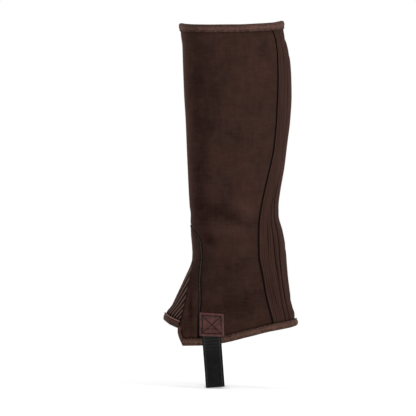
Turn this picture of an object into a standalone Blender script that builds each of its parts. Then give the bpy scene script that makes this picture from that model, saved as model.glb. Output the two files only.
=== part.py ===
"""A half chap: a riding gaiter of suede and ribbed elastic, hollow, in the form it has when worn.

Construction solids of one right half chap, in metres, +Z up. The shin faces -X, the near (inner)
side faces -Y, and the zip is on the far (outer) side. The origin is inside the tube, on the leg's
axis at the narrowest ring above the ankle.

Every piece of cloth lies on one skin, the closed surface that the sections below describe. A place
on it is a pair: a turn round the leg (0 at the shin, positive over the near side, pi at the calf)
and a height. A piece is a patch of places, moved in or out along the skin's normal.
"""

import math
from bisect import bisect_right
from collections import namedtuple
from functools import lru_cache

import bmesh
import bpy
from mathutils import Matrix, Vector

# ---------------------------------------------------------------------------
# Driving dimensions
# ---------------------------------------------------------------------------

Section = namedtuple("Section", "height front back half_width square egg")
SECTIONS = [
    # height is where the section lies; front and back are the shin's and the calf's x there;
    # square under 1 flattens the sides, and egg makes the calf side fuller than the shin side.
    Section(0.2400, -0.0675, 0.0605, 0.0510, 1.00, 0.10),
    Section(0.2220, -0.0671, 0.0631, 0.0518, 1.00, 0.10),
    Section(0.2070, -0.0652, 0.0670, 0.0528, 1.00, 0.11),
    Section(0.1890, -0.0646, 0.0707, 0.0538, 1.00, 0.12),
    Section(0.1660, -0.0638, 0.0723, 0.0545, 1.00, 0.12),
    Section(0.1440, -0.0629, 0.0727, 0.0545, 1.00, 0.12),
    Section(0.1130, -0.0610, 0.0709, 0.0532, 1.00, 0.12),
    Section(0.0830, -0.0597, 0.0672, 0.0508, 1.00, 0.11),
    Section(0.0530, -0.0583, 0.0635, 0.0475, 1.00, 0.10),
    Section(0.0230, -0.0570, 0.0583, 0.0438, 1.00, 0.08),
    Section(0.0040, -0.0559, 0.0562, 0.0418, 1.00, 0.06),
    Section(-0.0080, -0.0550, 0.0568, 0.0412, 1.00, 0.05),
    Section(-0.0300, -0.0543, 0.0621, 0.0405, 1.00, 0.04),
    Section(-0.0450, -0.0530, 0.0648, 0.0402, 0.98, 0.03),
    Section(-0.0580, -0.0524, 0.0660, 0.0402, 0.96, 0.02),
    Section(-0.0680, -0.0547, 0.0667, 0.0403, 0.94, 0.01),
    Section(-0.0830, -0.0612, 0.0680, 0.0408, 0.90, 0.00),
    Section(-0.0980, -0.0680, 0.0698, 0.0415, 0.86, 0.00),
    Section(-0.1130, -0.0750, 0.0719, 0.0424, 0.82, 0.00),
    Section(-0.1285, -0.0822, 0.0748, 0.0433, 0.79, 0.00),
    Section(-0.1410, -0.0885, 0.0768, 0.0440, 0.77, 0.00),
    Section(-0.1720, -0.1040, 0.0795, 0.0455, 0.75, 0.00),
]

Place = namedtuple("Place", "turn height")
# Edges and seams of the near side, as turns in degrees and heights. The far side mirrors them.
TOP_EDGE = [
    Place(0, 0.2340),
    Place(60, 0.2327),
    Place(120, 0.2327),
    Place(145, 0.2346),
    Place(180, 0.2369),
]
HEM_EDGE = [
    Place(50, -0.1702),
    Place(56, -0.1700),
    Place(72, -0.1693),
    Place(88, -0.1663),
    Place(107, -0.1588),
    Place(130, -0.1503),
    Place(163, -0.1455),
    Place(180, -0.1443),
]
GUSSET_HEM = [
    Place(0, -0.1378),
    Place(30, -0.1431),
    Place(41, -0.1464),
    Place(46, -0.1485),
]
FRONT_SEAM = [
    Place(69.0, -0.1700),
    Place(66.5, -0.1590),
    Place(62.3, -0.1420),
    Place(59.0, -0.1275),
    Place(56.0, -0.1135),
    Place(50.0, -0.0970),
    Place(43.0, -0.0805),
    Place(37.5, -0.0645),
    Place(36.0, -0.0520),
    Place(35.8, -0.0430),
    Place(32.5, -0.0352),
    Place(20.0, -0.0268),
    Place(0.0, -0.0195),
]
GUSSET_SEAM = [
    Place(44.0, -0.1480),
    Place(42.0, -0.1373),
    Place(39.5, -0.1273),
    Place(34.5, -0.1095),
    Place(29.5, -0.0960),
    Place(23.0, -0.0810),
    Place(13.0, -0.0665),
    Place(0.0, -0.0595),
]
INSTEP_CORNER = Place(56.0, -0.1700)

SeamPoint = namedtuple("SeamPoint", "height x")
REAR_SEAM = [
    SeamPoint(0.2400, 0.0440),
    SeamPoint(0.2255, 0.0482),
    SeamPoint(0.2126, 0.0520),
    SeamPoint(0.1950, 0.0543),
    SeamPoint(0.1650, 0.0550),
    SeamPoint(0.1170, 0.0533),
    SeamPoint(0.0774, 0.0499),
    SeamPoint(0.0403, 0.0420),
    SeamPoint(0.0043, 0.0341),
    SeamPoint(-0.0139, 0.0315),
    SeamPoint(-0.0365, 0.0306),
    SeamPoint(-0.0580, 0.0312),
    SeamPoint(-0.0780, 0.0350),
    SeamPoint(-0.1084, 0.0403),
    SeamPoint(-0.1411, 0.0488),
    SeamPoint(-0.1600, 0.0535),
]

Fold = namedtuple("Fold", "turn height lean length width depth")
FOLDS = [
    # Soft dents (depth over 0) and swells (under 0) at the ankle, where the suede gives.
    # Turns and leans are in degrees; a lean of 0 runs round the leg, and 90 runs up it.
    Fold(77, -0.006, 25, 0.017, 0.010, 0.0013),
    Fold(53, -0.038, 40, 0.014, 0.009, 0.0010),
    Fold(111, 0.000, 140, 0.011, 0.008, -0.0008),
    Fold(82, -0.062, 100, 0.018, 0.009, -0.0008),
    Fold(100, -0.090, 70, 0.022, 0.011, 0.0008),
    Fold(-70, -0.010, 155, 0.018, 0.010, 0.0012),
    Fold(-95, -0.035, 20, 0.015, 0.010, -0.0009),
    Fold(-60, -0.060, 60, 0.016, 0.009, 0.0009),
    Fold(-105, -0.085, 110, 0.020, 0.011, 0.0008),
]
FOLD_SPAN = 0.050          # metres of skin for each radian of turn, near enough for a fold

GAP = 0.0003               # between pieces at a seam
SUEDE = 0.0020             # thickness of the suede panels
ELASTIC = 0.0020           # thickness of the ribbed elastic over a rib
PIPING_RADIUS = 0.0009
PIPING_DEPTH = 0.0003      # how far the piping's middle lies under the skin
BINDING = 0.0009           # thickness of the binding tape
BINDING_LIFT = 0.0004      # how far a binding's outer fold stands off the panels
TOP_BINDING_WIDTH = 0.0085 # depth of a binding's outer fold, from the panel's edge
HEM_BINDING_WIDTH = 0.0078
GUSSET_BINDING_WIDTH = 0.0078
INNER_FOLD = 0.80          # a binding's inner fold, as a share of the outer one

CALF_RIBS = 20
RIB_DEPTH = 0.0008
GUSSET_RIBS = 18
GUSSET_RIB_DEPTH = 0.0009
GUSSET_SPREAD = 0.35       # how much wider apart the gusset's ribs lie at its top than at its hem
CALF_PLAIN = 2             # outer columns of the calf panel for each column of its plain inside
GUSSET_PLAIN = 2           # the same of the gusset

PANEL_COLUMNS = 12         # of each half of the main panel
NARROW_COLUMN = 0.4        # the width of its last column, by the rear seam, against the others
PANEL_ROWS = 18            # above the front seam's arch
SEAM_ROWS = 15             # from the hem up to the arch
GUSSET_ROWS = 7
INSTEP_COLUMNS = 5

PATCH = 0.0014             # thickness of the leather patches
PATCH_TOP_LEFT = (-0.0424, -0.1295)       # a patch's corners, as x and z seen from the near side
PATCH_TOP_RIGHT = (-0.0136, -0.1313)
PATCH_BOTTOM_LEFT = (-0.0427, -0.1583)
PATCH_BOTTOM_RIGHT = (-0.0125, -0.1576)
PATCH_COLUMNS = (0.0, 0.05, 0.25, 0.45, 0.65, 0.89, 1.0)
PATCH_ROWS = (0.0, 0.07, 0.16, 0.34, 0.46, 0.73, 1.0)
STRAP = 0.0014             # thickness of the elastic foot strap
STRAP_WIDTH = 0.0236
STRAP_LEAN = math.radians(4.2)
STRAP_X = -0.0282          # the strap's middle where it comes out from under the patch
STRAP_Z = -0.1585
STRAP_TOP = -0.1490        # the strap's sewn end, under the patch
STRAP_PROUD = 0.0018       # the strap's height over the skin, where it crosses the hem binding
STRAP_BOTTOM = -0.2216     # the strap's lowest line, under the foot
STRAP_HALF_SPAN = 0.0400   # from the middle of the foot to the strap's upright sides
STRAP_CORNER = 0.0070
STRAP_COLUMNS = 4

ZIP_CHANNEL = 0.0064       # from the zip's middle to the panels' edges
TAPE = 0.0009
TAPE_WIDTH = 0.0100
TAPE_PARTING = 0.0004      # from the zip's middle to each tape
TAPE_WEDGE = 0.0019        # from the zip's middle to each tape at the slider's wedge
CHAIN_HALF_WIDTH = 0.0028
CHAIN_TOP = -0.0005        # the chain's face, under the skin
SLIDER_HEIGHT = 0.2145     # where the slider sits
SLIDER_LENGTH = 0.0120
SLIDER_WIDTH = 0.0086
SLIDER_PLATE = 0.0011
SLIDER_LIFT = 0.0001       # the plate's underside, over the skin
SLIDER_FLANGE = 0.0010
SLIDER_TRIM = 0.0004       # how far the flanges stop short of the plate's ends
WEDGE_HALF_WIDTH = 0.0007
WEDGE_SPAN = (0.0032, 0.0054)             # the wedge's ends, from the slider's middle
BACK_PLATE = 0.0009        # the slider's plate behind the tapes
BACK_CLEARANCE = 0.0010    # between that plate and the tapes
FLANGE_CLEARANCE = 0.0009  # between the flanges and the tapes
METAL_BEVEL = 0.0003
JOIN = 0.0004              # how deep joined blocks reach into each other
BRIDGE_HALF_LENGTH = 0.0036
BRIDGE_HEIGHT = 0.0034     # over the slider's plate
BRIDGE_WIDTH = 0.0024
BRIDGE = 0.0011            # thickness of the bridge's arch
TAB_AXIS_HEIGHT = 0.00115  # the pull tab's hinge, over the slider's plate
TAB_LENGTH = 0.0260        # from its hinge to its tip
TAB_WIDTH = 0.0068
TAB = 0.0012               # thickness of the pull tab
TAB_WINDOW = 0.0048        # from the hinge to the end of the tab's window
TAB_CLEARANCE = 0.00035    # between the bridge and the tab's window
BOX_LENGTH = 0.0072        # the retainer box at the zip's foot
BOX_WIDTH = 0.0086


# ---------------------------------------------------------------------------
# Starting clean, and materials
# ---------------------------------------------------------------------------

for old in list(bpy.data.objects):
    bpy.data.objects.remove(old, do_unlink=True)


def make_material(name, colour, roughness, metallic=0.0):
    material = bpy.data.materials.new(name)
    material.use_nodes = True
    shader = material.node_tree.nodes["Principled BSDF"]
    shader.inputs["Base Color"].default_value = (*colour, 1.0)
    shader.inputs["Roughness"].default_value = roughness
    shader.inputs["Metallic"].default_value = metallic
    material.diffuse_color = (*colour, 1.0)
    return material


SUEDE_BROWN = make_material("suede_brown", (0.042, 0.021, 0.016), 0.95)
ELASTIC_BROWN = make_material("elastic_brown", (0.048, 0.024, 0.018), 0.90)
BINDING_BROWN = make_material("binding_brown", (0.095, 0.052, 0.039), 0.85)
PIPING_BLACK = make_material("piping_black", (0.010, 0.009, 0.009), 0.45)
PATCH_LEATHER = make_material("patch_leather", (0.100, 0.034, 0.029), 0.55)
STRAP_BLACK = make_material("strap_black", (0.012, 0.012, 0.012), 0.85)
ZIP_BLACK = make_material("zip_black", (0.012, 0.011, 0.011), 0.70)
ZIP_METAL = make_material("zip_metal", (0.060, 0.055, 0.052), 0.35, 0.9)


# ---------------------------------------------------------------------------
# The skin
# ---------------------------------------------------------------------------

class Curve:
    """A smooth curve through a table's points: a value for each place, with no overshoot."""

    def __init__(self, places, values):
        pairs = sorted(zip(places, values))
        self.places = [place for place, _ in pairs]
        self.values = [value for _, value in pairs]
        steps = [
            (v1 - v0) / (p1 - p0)
            for (p0, v0), (p1, v1) in zip(pairs, pairs[1:])
        ]
        middle = [2 * a * b / (a + b) if a * b > 0 else 0.0 for a, b in zip(steps, steps[1:])]
        self.slopes = [steps[0], *middle, steps[-1]]

    def __call__(self, place):
        if place <= self.places[0]:
            return self.values[0] + self.slopes[0] * (place - self.places[0])
        if place >= self.places[-1]:
            return self.values[-1] + self.slopes[-1] * (place - self.places[-1])
        i = bisect_right(self.places, place) - 1
        span = self.places[i + 1] - self.places[i]
        f = (place - self.places[i]) / span
        return (
            (1 + 2 * f) * (1 - f) ** 2 * self.values[i]
            + f * (1 - f) ** 2 * span * self.slopes[i]
            + f * f * (3 - 2 * f) * self.values[i + 1]
            - f * f * (1 - f) * span * self.slopes[i + 1]
        )


SHAPE = {
    column: Curve([row.height for row in SECTIONS], [getattr(row, column) for row in SECTIONS])
    for column in ("front", "back", "half_width", "square", "egg")
}


@lru_cache(maxsize=None)
def section_at(height):
    return {column: curve(height) for column, curve in SHAPE.items()}


def bare_skin(turn, height):
    """The skin before its folds."""
    section = section_at(height)
    reach = (section["back"] - section["front"]) / 2
    side = math.sin(turn)
    side = math.copysign(abs(side) ** section["square"], side)
    return Vector((
        section["front"] + reach * (1 - math.cos(turn)),
        -section["half_width"] * side * (1 - section["egg"] * math.cos(turn)),
        height,
    ))


def skin_slopes(turn, height):
    """How the skin runs at a place: for each radian of turn and each metre of height."""
    small_turn, small_height = 0.01, 0.0005
    across = bare_skin(turn + small_turn, height) - bare_skin(turn - small_turn, height)
    along = bare_skin(turn, height + small_height) - bare_skin(turn, height - small_height)
    return across / (2 * small_turn), along / (2 * small_height)


def fold_depth(turn, height):
    """How deep the skin lies in a fold at a place."""
    depth = 0.0
    for fold in FOLDS:
        across = (turn - math.radians(fold.turn)) * FOLD_SPAN
        up = height - fold.height
        lean = math.radians(fold.lean)
        along = across * math.cos(lean) + up * math.sin(lean)
        aside = up * math.cos(lean) - across * math.sin(lean)
        depth += fold.depth * math.exp(-(along / fold.length) ** 2 - (aside / fold.width) ** 2)
    return depth


def skin(turn, height, out=0.0):
    """A point over the skin, out from it along its normal."""
    across, along = skin_slopes(turn, height)
    normal = across.cross(along).normalized()
    return bare_skin(turn, height) + normal * (out - fold_depth(turn, height))


def side_turn(x, height):
    """The turn of the near side's place at an x and a height."""
    section = section_at(height)
    reach = (section["back"] - section["front"]) / 2
    return math.acos(max(-1.0, min(1.0, 1 - (x - section["front"]) / reach)))


def mix(a, b, share):
    return a + (b - a) * share


def shift(place, direction, distance):
    """The place that a walk of a distance over the skin reaches, in a direction along it."""
    across, along = skin_slopes(*place)
    aa, ab, bb = across.dot(across), across.dot(along), along.dot(along)
    right = distance * across.dot(direction)
    up = distance * along.dot(direction)
    scale = aa * bb - ab * ab
    return Place(place.turn + (bb * right - ab * up) / scale, place.height + (aa * up - ab * right) / scale)


def beside(path, distance):
    """A path moved sideways over the skin, to the left of its run as seen from outside."""
    points = [bare_skin(*place) for place in path]
    moved = []
    for i, place in enumerate(path):
        run = points[min(i + 1, len(path) - 1)] - points[max(i - 1, 0)]
        across, along = skin_slopes(*place)
        left = across.cross(along).cross(run).normalized()
        moved.append(shift(place, left, distance))
    return moved


def trace(places, count):
    """A smooth path through a few places, cut into steps of even length."""
    lengths = [0.0]
    for before, after in zip(places, places[1:]):
        lengths.append(lengths[-1] + (bare_skin(*after) - bare_skin(*before)).length)
    turns = Curve(lengths, [place.turn for place in places])
    heights = Curve(lengths, [place.height for place in places])
    steps = [lengths[-1] * i / count for i in range(count + 1)]
    return [Place(turns(step), heights(step)) for step in steps]


def in_radians(places):
    return [Place(math.radians(place.turn), place.height) for place in places]


def mirrored(places):
    return [Place(-place.turn, place.height) for place in places]


def edge_height(places):
    """An edge's height at any turn, the same on both sides of the leg."""
    curve = Curve([math.radians(place.turn) for place in places], [place.height for place in places])
    return lambda turn: curve(abs(math.remainder(turn, 2 * math.pi)))


top_height = edge_height(TOP_EDGE)
hem_height = edge_height(HEM_EDGE)
gusset_hem_height = edge_height(GUSSET_HEM)
rear_seam_x = Curve([point.height for point in REAR_SEAM], [point.x for point in REAR_SEAM])


def rear_turn(height):
    return side_turn(rear_seam_x(height), height)


def rear_path(low, high, count):
    """The rear seam's line on the near side, from one height up to another."""
    heights = [mix(low, high, i / count) for i in range(count + 1)]
    return [Place(rear_turn(height), height) for height in heights]


def edge_turn(path):
    """A path's turn at any height, for a path that climbs all the way."""
    return Curve([place.height for place in path], [place.turn for place in path])


# ---------------------------------------------------------------------------
# Solids
# ---------------------------------------------------------------------------

def add_object(name, points, faces, material, smooth_angle=40):
    """One closed body, its faces turned outwards."""
    mesh = bpy.data.meshes.new(name)
    mesh.from_pydata([tuple(point) for point in points], [], faces)
    work = bmesh.new()
    work.from_mesh(mesh)
    if work.calc_volume(signed=True) < 0:
        bmesh.ops.reverse_faces(work, faces=work.faces)
    work.to_mesh(mesh)
    work.free()
    mesh.materials.append(material)
    mesh.shade_smooth()
    mesh.set_sharp_from_angle(angle=math.radians(smooth_angle))
    item = bpy.data.objects.new(name, mesh)
    bpy.context.collection.objects.link(item)
    return item


class Skins:
    """The two faces of a wall: points by place, and faces that skip a point met twice."""

    def __init__(self):
        self.points = []
        self.faces = []
        self.known = {}

    def point(self, place, out):
        key = (round(place.turn, 7), round(place.height, 7), round(out, 6))
        if key not in self.known:
            self.known[key] = len(self.points)
            self.points.append(skin(place.turn, place.height, out))
        return self.known[key]

    def face(self, *corners):
        once = [c for i, c in enumerate(corners) if c != corners[i - 1]]
        if len(set(once)) >= 3:
            self.faces.append(once)


def build_wall(name, patches, thickness, material, out=0.0):
    """A plain wall of cloth over patches of places, each a list of rows."""
    skins = Skins()
    outer_faces = []
    inner_of = {}
    for patch in patches:
        for row, above in zip(patch, patch[1:]):
            for a, b, c, d in zip(row, row[1:], above[1:], above):
                corners = []
                for place in (a, b, c, d):
                    corner = skins.point(place, out)
                    inner_of[corner] = skins.point(place, out - thickness)
                    corners.append(corner)
                outer_faces.append(corners)
    edges = set()
    for corners in outer_faces:
        once = [c for i, c in enumerate(corners) if c != corners[i - 1]]
        skins.face(*once)
        skins.face(*[inner_of[c] for c in reversed(once)])
        edges.update(zip(once, once[1:] + once[:1]))
    for a, b in sorted(edges):
        if (b, a) not in edges:
            skins.face(b, a, inner_of[a], inner_of[b])
    return add_object(name, skins.points, skins.faces, material)


def build_ribbed_wall(name, rows, relief, thickness, material, plain_step):
    """A wall with ribs in its outer face and a plain inner face with fewer columns.

    relief(row, column) is how deep an outer point lies under the rib's crest, and plain_step is
    how many outer columns there are for each inner one.
    """
    skins = Skins()
    last = len(rows[0]) - 1
    outer = [
        [skins.point(place, -relief(r, c)) for c, place in enumerate(row)]
        for r, row in enumerate(rows)
    ]
    inner = [
        [skins.point(row[c], -thickness) for c in range(0, last + 1, plain_step)]
        for row in rows
    ]
    for grid, turned in ((outer, False), (inner, True)):
        for row, above in zip(grid, grid[1:]):
            for a, b, c, d in zip(row, row[1:], above[1:], above):
                skins.face(*((d, c, b, a) if turned else (a, b, c, d)))
    for r in range(len(rows) - 1):
        skins.face(outer[r][0], outer[r + 1][0], inner[r + 1][0], inner[r][0])
        skins.face(outer[r + 1][-1], outer[r][-1], inner[r][-1], inner[r + 1][-1])
    for r, turned in ((0, False), (-1, True)):
        for j in range(len(inner[r]) - 1):
            first = j * plain_step
            half = first + plain_step // 2
            fan = [
                (outer[r][c + 1], outer[r][c], inner[r][j] if c < half else inner[r][j + 1])
                for c in range(first, first + plain_step)
            ]
            fan.append((outer[r][half], inner[r][j], inner[r][j + 1]))
            for corners in fan:
                skins.face(*(reversed(corners) if turned else corners))
    return add_object(name, skins.points, skins.faces, material, smooth_angle=60)


def build_ribbon(name, path, inside, outside, material, side=1):
    """A folded tape along a path: two matched profiles of (distance from the edge, out)."""
    count = len(inside)
    rings = []
    for distance, out in inside + outside[::-1]:
        moved = beside(path, distance * side)
        rings.append([skin(*place, out) for place in moved])
    points = [ring[i] for i in range(len(path)) for ring in rings]
    around = 2 * count
    faces = []
    for i in range(len(path) - 1):
        for k in range(around):
            a, b = i * around + k, i * around + (k + 1) % around
            faces.append((a, b, b + around, a + around))
    for start, turned in ((0, False), ((len(path) - 1) * around, True)):
        for k in range(count - 1):
            cap = [start + k, start + around - 1 - k, start + around - 2 - k, start + k + 1]
            faces.append(cap[::-1] if turned else cap)
    return add_object(name, points, faces, material)


def build_cord(name, path, radius, depth, material, sides=6):
    """A round cord that lies in the skin along a path."""
    centres = [skin(*place, -depth) for place in path]
    points = []
    for i, (place, centre) in enumerate(zip(path, centres)):
        run = (centres[min(i + 1, len(path) - 1)] - centres[max(i - 1, 0)]).normalized()
        across, along = skin_slopes(*place)
        normal = across.cross(along).normalized()
        aside = run.cross(normal).normalized()
        normal = aside.cross(run)
        for k in range(sides):
            angle = 2 * math.pi * (k + 0.5) / sides
            points.append(centre + radius * (math.cos(angle) * aside + math.sin(angle) * normal))
    faces = [
        (i * sides + k, i * sides + (k + 1) % sides, (i + 1) * sides + (k + 1) % sides, (i + 1) * sides + k)
        for i in range(len(path) - 1)
        for k in range(sides)
    ]
    faces.append(tuple(reversed(range(sides))))
    faces.append(tuple(range(len(points) - sides, len(points))))
    return add_object(name, points, faces, material)


# ---------------------------------------------------------------------------
# Seam lines
# ---------------------------------------------------------------------------

SEAM_CLEAR = PIPING_RADIUS + GAP
near_front_seam = trace(in_radians(FRONT_SEAM), SEAM_ROWS)
front_seam = near_front_seam + mirrored(near_front_seam[-2::-1])
main_slit = beside(front_seam, -SEAM_CLEAR)[:SEAM_ROWS + 1]
arch = Place(0.0, main_slit[-1].height)
main_slit[-1] = arch

rear_seam = rear_path(-0.160, 0.240, 80)
main_rear_turn = edge_turn(beside(rear_seam, SEAM_CLEAR))
calf_near_turn = edge_turn(beside(rear_seam, -SEAM_CLEAR))
zip_line = mirrored(rear_seam)
main_zip_turn = edge_turn(beside(zip_line, -ZIP_CHANNEL))
calf_zip_turn = edge_turn(beside(zip_line, ZIP_CHANNEL))


# ---------------------------------------------------------------------------
# Main panel: suede, from the rear seam round the shin to the zip
# ---------------------------------------------------------------------------

def main_panel_half(slit, outer_turn, side):
    """One half of the main panel, as rows from the hem to the top, along the shin outwards."""
    end = slit[0]
    falls = [(arch.height - place.height) / (arch.height - end.height) for place in slit]
    rows = [[] for _ in range(SEAM_ROWS + PANEL_ROWS + 1)]
    for c in range(PANEL_COLUMNS + 1):
        share = min(1.0, c / (PANEL_COLUMNS - 1 + NARROW_COLUMN))
        foot = hem_height(end.turn)
        head = top_height(0.0)
        for _ in range(8):
            foot = hem_height(mix(end.turn, outer_turn(foot), share))
            head = top_height(mix(0.0, outer_turn(head), share))
        foot = mix(end.height, foot, min(1.0, c))
        for r, (place, fall) in enumerate(zip(slit, falls)):
            height = mix(arch.height, foot, fall)
            rows[r].append(Place(mix(place.turn, outer_turn(height), share), height))
        for r in range(1, PANEL_ROWS + 1):
            height = mix(arch.height, head, r / PANEL_ROWS)
            rows[SEAM_ROWS + r].append(Place(mix(0.0, outer_turn(height), share), height))
    return rows if side > 0 else [row[::-1] for row in rows]


hem_start = hem_height(main_slit[0].turn)
main_slit[0] = Place(main_slit[0].turn, hem_start)
main_near = main_panel_half(main_slit, main_rear_turn, 1)
main_far = main_panel_half(mirrored(main_slit), main_zip_turn, -1)
build_wall("main_panel", [main_near, main_far], SUEDE, SUEDE_BROWN)


# ---------------------------------------------------------------------------
# Calf panel: ribbed elastic between the rear seam and the zip
# ---------------------------------------------------------------------------

seam_heights = [row[-1].height for row in main_near]
seam_rises = [
    (height - seam_heights[0]) / (seam_heights[-1] - seam_heights[0])
    for height in seam_heights
]


def calf_panel_rows():
    """Rows that meet the main panel's at the rear seam."""
    columns = 2 * CALF_RIBS
    rows = [[] for _ in seam_rises]
    for c in range(columns + 1):
        share = c / columns

        def turn_at(height):
            return mix(calf_near_turn(height), calf_zip_turn(height) + 2 * math.pi, share)

        foot, head = hem_height(math.pi), top_height(math.pi)
        for _ in range(8):
            foot = hem_height(turn_at(foot))
            head = top_height(turn_at(head))
        for row, rise in zip(rows, seam_rises):
            height = mix(foot, head, rise)
            row.append(Place(turn_at(height), height))
    return rows


def calf_relief(row, column):
    """Grooves between the ribs, which end under the bindings."""
    bound = row in (0, len(seam_rises) - 1)
    return RIB_DEPTH if column % 2 == 0 and not bound else 0.0


calf_rows = calf_panel_rows()
build_ribbed_wall("calf_panel", calf_rows, calf_relief, ELASTIC, ELASTIC_BROWN, CALF_PLAIN)


# ---------------------------------------------------------------------------
# Instep panel: a suede saddle over the foot, with a leg down each side
# ---------------------------------------------------------------------------

near_gusset_seam = trace(in_radians([INSTEP_CORNER, *GUSSET_SEAM]), SEAM_ROWS)
gusset_seam = near_gusset_seam + mirrored(near_gusset_seam[-2::-1])
instep_outer = beside(front_seam, SEAM_CLEAR)
instep_inner = beside(gusset_seam, -GAP / 2)
instep_rows = [
    [
        Place(mix(a.turn, b.turn, c / INSTEP_COLUMNS), mix(a.height, b.height, c / INSTEP_COLUMNS))
        for c in range(INSTEP_COLUMNS + 1)
    ]
    for a, b in zip(instep_inner, instep_outer)
]
build_wall("instep_panel", [instep_rows], SUEDE, SUEDE_BROWN)


# ---------------------------------------------------------------------------
# Instep gusset: ribbed elastic between the instep panel's legs
# ---------------------------------------------------------------------------

def girth_to(turn, height, steps=10):
    """The distance over the skin from the shin's line to a turn, at one height."""
    middles = [turn * (i + 0.5) / steps for i in range(steps)]
    return sum(skin_slopes(middle, height)[0].length for middle in middles) * turn / steps


def turn_from_girth(distance, height):
    """The turn that lies a distance over the skin from the shin's line."""
    turn = distance / skin_slopes(0.3, height)[0].length
    for _ in range(6):
        turn += (distance - girth_to(turn, height)) / skin_slopes(turn, height)[0].length
    return turn


gusset_side = beside(near_gusset_seam, GAP / 2)
gusset_apex = gusset_side[-1].height - GAP
gusset_edge_turn = Curve(
    [place.height for place in gusset_side[:-1]] + [gusset_apex],
    [place.turn for place in gusset_side[:-1]] + [0.0],
)
gusset_foot = GUSSET_SEAM[0].height
for _ in range(8):
    gusset_foot = gusset_hem_height(gusset_edge_turn(gusset_foot))
gusset_half_width = girth_to(gusset_edge_turn(gusset_foot), gusset_foot)


def gusset_column(share):
    """A rib line of the gusset, from its hem up to the seam. share runs from 0 to 1 over one half."""
    def turn_at(height):
        spread = 1 + GUSSET_SPREAD * (height - gusset_foot) / (gusset_apex - gusset_foot)
        return turn_from_girth(share * gusset_half_width * spread, height)

    low, high = gusset_foot, gusset_apex
    for _ in range(24):
        head = (low + high) / 2
        if turn_at(head) < gusset_edge_turn(head):
            low = head
        else:
            high = head
    foot = gusset_foot
    for _ in range(8):
        foot = gusset_hem_height(turn_at(foot))
    heights = [mix(foot, head, r / GUSSET_ROWS) for r in range(GUSSET_ROWS + 1)]
    return [Place(turn_at(height), height) for height in heights]


gusset_corner = Place(gusset_edge_turn(gusset_foot), gusset_foot)
near_ribs = [gusset_column(c / GUSSET_RIBS) for c in range(GUSSET_RIBS)]
near_ribs.append([gusset_corner] * (GUSSET_ROWS + 1))
gusset_columns = [mirrored(column) for column in near_ribs[:0:-1]] + near_ribs
gusset_rows = [list(row) for row in zip(*gusset_columns)]


def gusset_relief(row, column):
    return GUSSET_RIB_DEPTH if column % 2 == 0 else 0.0


build_ribbed_wall("instep_gusset", gusset_rows, gusset_relief, ELASTIC, ELASTIC_BROWN, GUSSET_PLAIN)


# ---------------------------------------------------------------------------
# Piping in the seams
# ---------------------------------------------------------------------------

def rear_line(low, high):
    """The rear seam's line between two heights, with its points at the panels' rows."""
    between = [height for height in seam_heights if low + GAP < height < high - GAP]
    return [Place(rear_turn(height), height) for height in (low, *between, high)]


def clear_of_hem(turn):
    """The lowest height at which a seam shows over the hem binding."""
    return hem_height(turn) + 1.06 * HEM_BINDING_WIDTH + 2 * GAP


rear_low = clear_of_hem(rear_turn(-0.142))
rear_high = top_height(rear_turn(0.226)) - TOP_BINDING_WIDTH - 2 * GAP
build_cord("rear_piping", rear_line(rear_low, rear_high), PIPING_RADIUS, PIPING_DEPTH, PIPING_BLACK)

seam_turn = edge_turn(near_front_seam)
front_low = clear_of_hem(seam_turn(-0.160))
near_piping = [Place(seam_turn(front_low), front_low)]
near_piping += [place for place in near_front_seam if place.height > front_low + 4 * PIPING_RADIUS]
front_piping = near_piping + mirrored(near_piping[-2::-1])
build_cord("front_piping", front_piping, PIPING_RADIUS, PIPING_DEPTH, PIPING_BLACK)


# ---------------------------------------------------------------------------
# Bindings: tape folded over the edges
# ---------------------------------------------------------------------------

def build_binding(name, path, width, into):
    """A binding along the panels' edge. into is 1 where the panels lie above it, and -1 below."""
    wall = SUEDE + GAP
    inside = [
        (INNER_FOLD * width, -wall),
        (-GAP, -wall),
        (-GAP, GAP),
        (width / 2, BINDING_LIFT),
        (width, BINDING_LIFT),
    ]
    outside = [
        (INNER_FOLD * width, -wall - BINDING),
        (-GAP - BINDING, -wall - 0.3 * BINDING),
        (-GAP - BINDING, GAP + 0.3 * BINDING),
        (width / 2, BINDING_LIFT + BINDING),
        (width, BINDING_LIFT + 0.8 * BINDING),
    ]
    return build_ribbon(name, path, inside, outside, BINDING_BROWN, side=into)


top_path = main_far[-1] + main_near[-1][1:] + calf_rows[-1][::CALF_PLAIN]
near_path = instep_rows[0][::INSTEP_COLUMNS] + main_near[0] + calf_rows[0][::CALF_PLAIN]
far_path = main_far[0] + instep_rows[-1][::-INSTEP_COLUMNS]
build_binding("top_binding", top_path, TOP_BINDING_WIDTH, -1)
build_binding("hem_binding_near", near_path, HEM_BINDING_WIDTH, 1)
build_binding("hem_binding_far", far_path, HEM_BINDING_WIDTH, 1)
build_binding("gusset_binding", gusset_rows[0][1:-1:2], GUSSET_BINDING_WIDTH, 1)


# ---------------------------------------------------------------------------
# Foot strap and its patches
# ---------------------------------------------------------------------------

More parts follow.
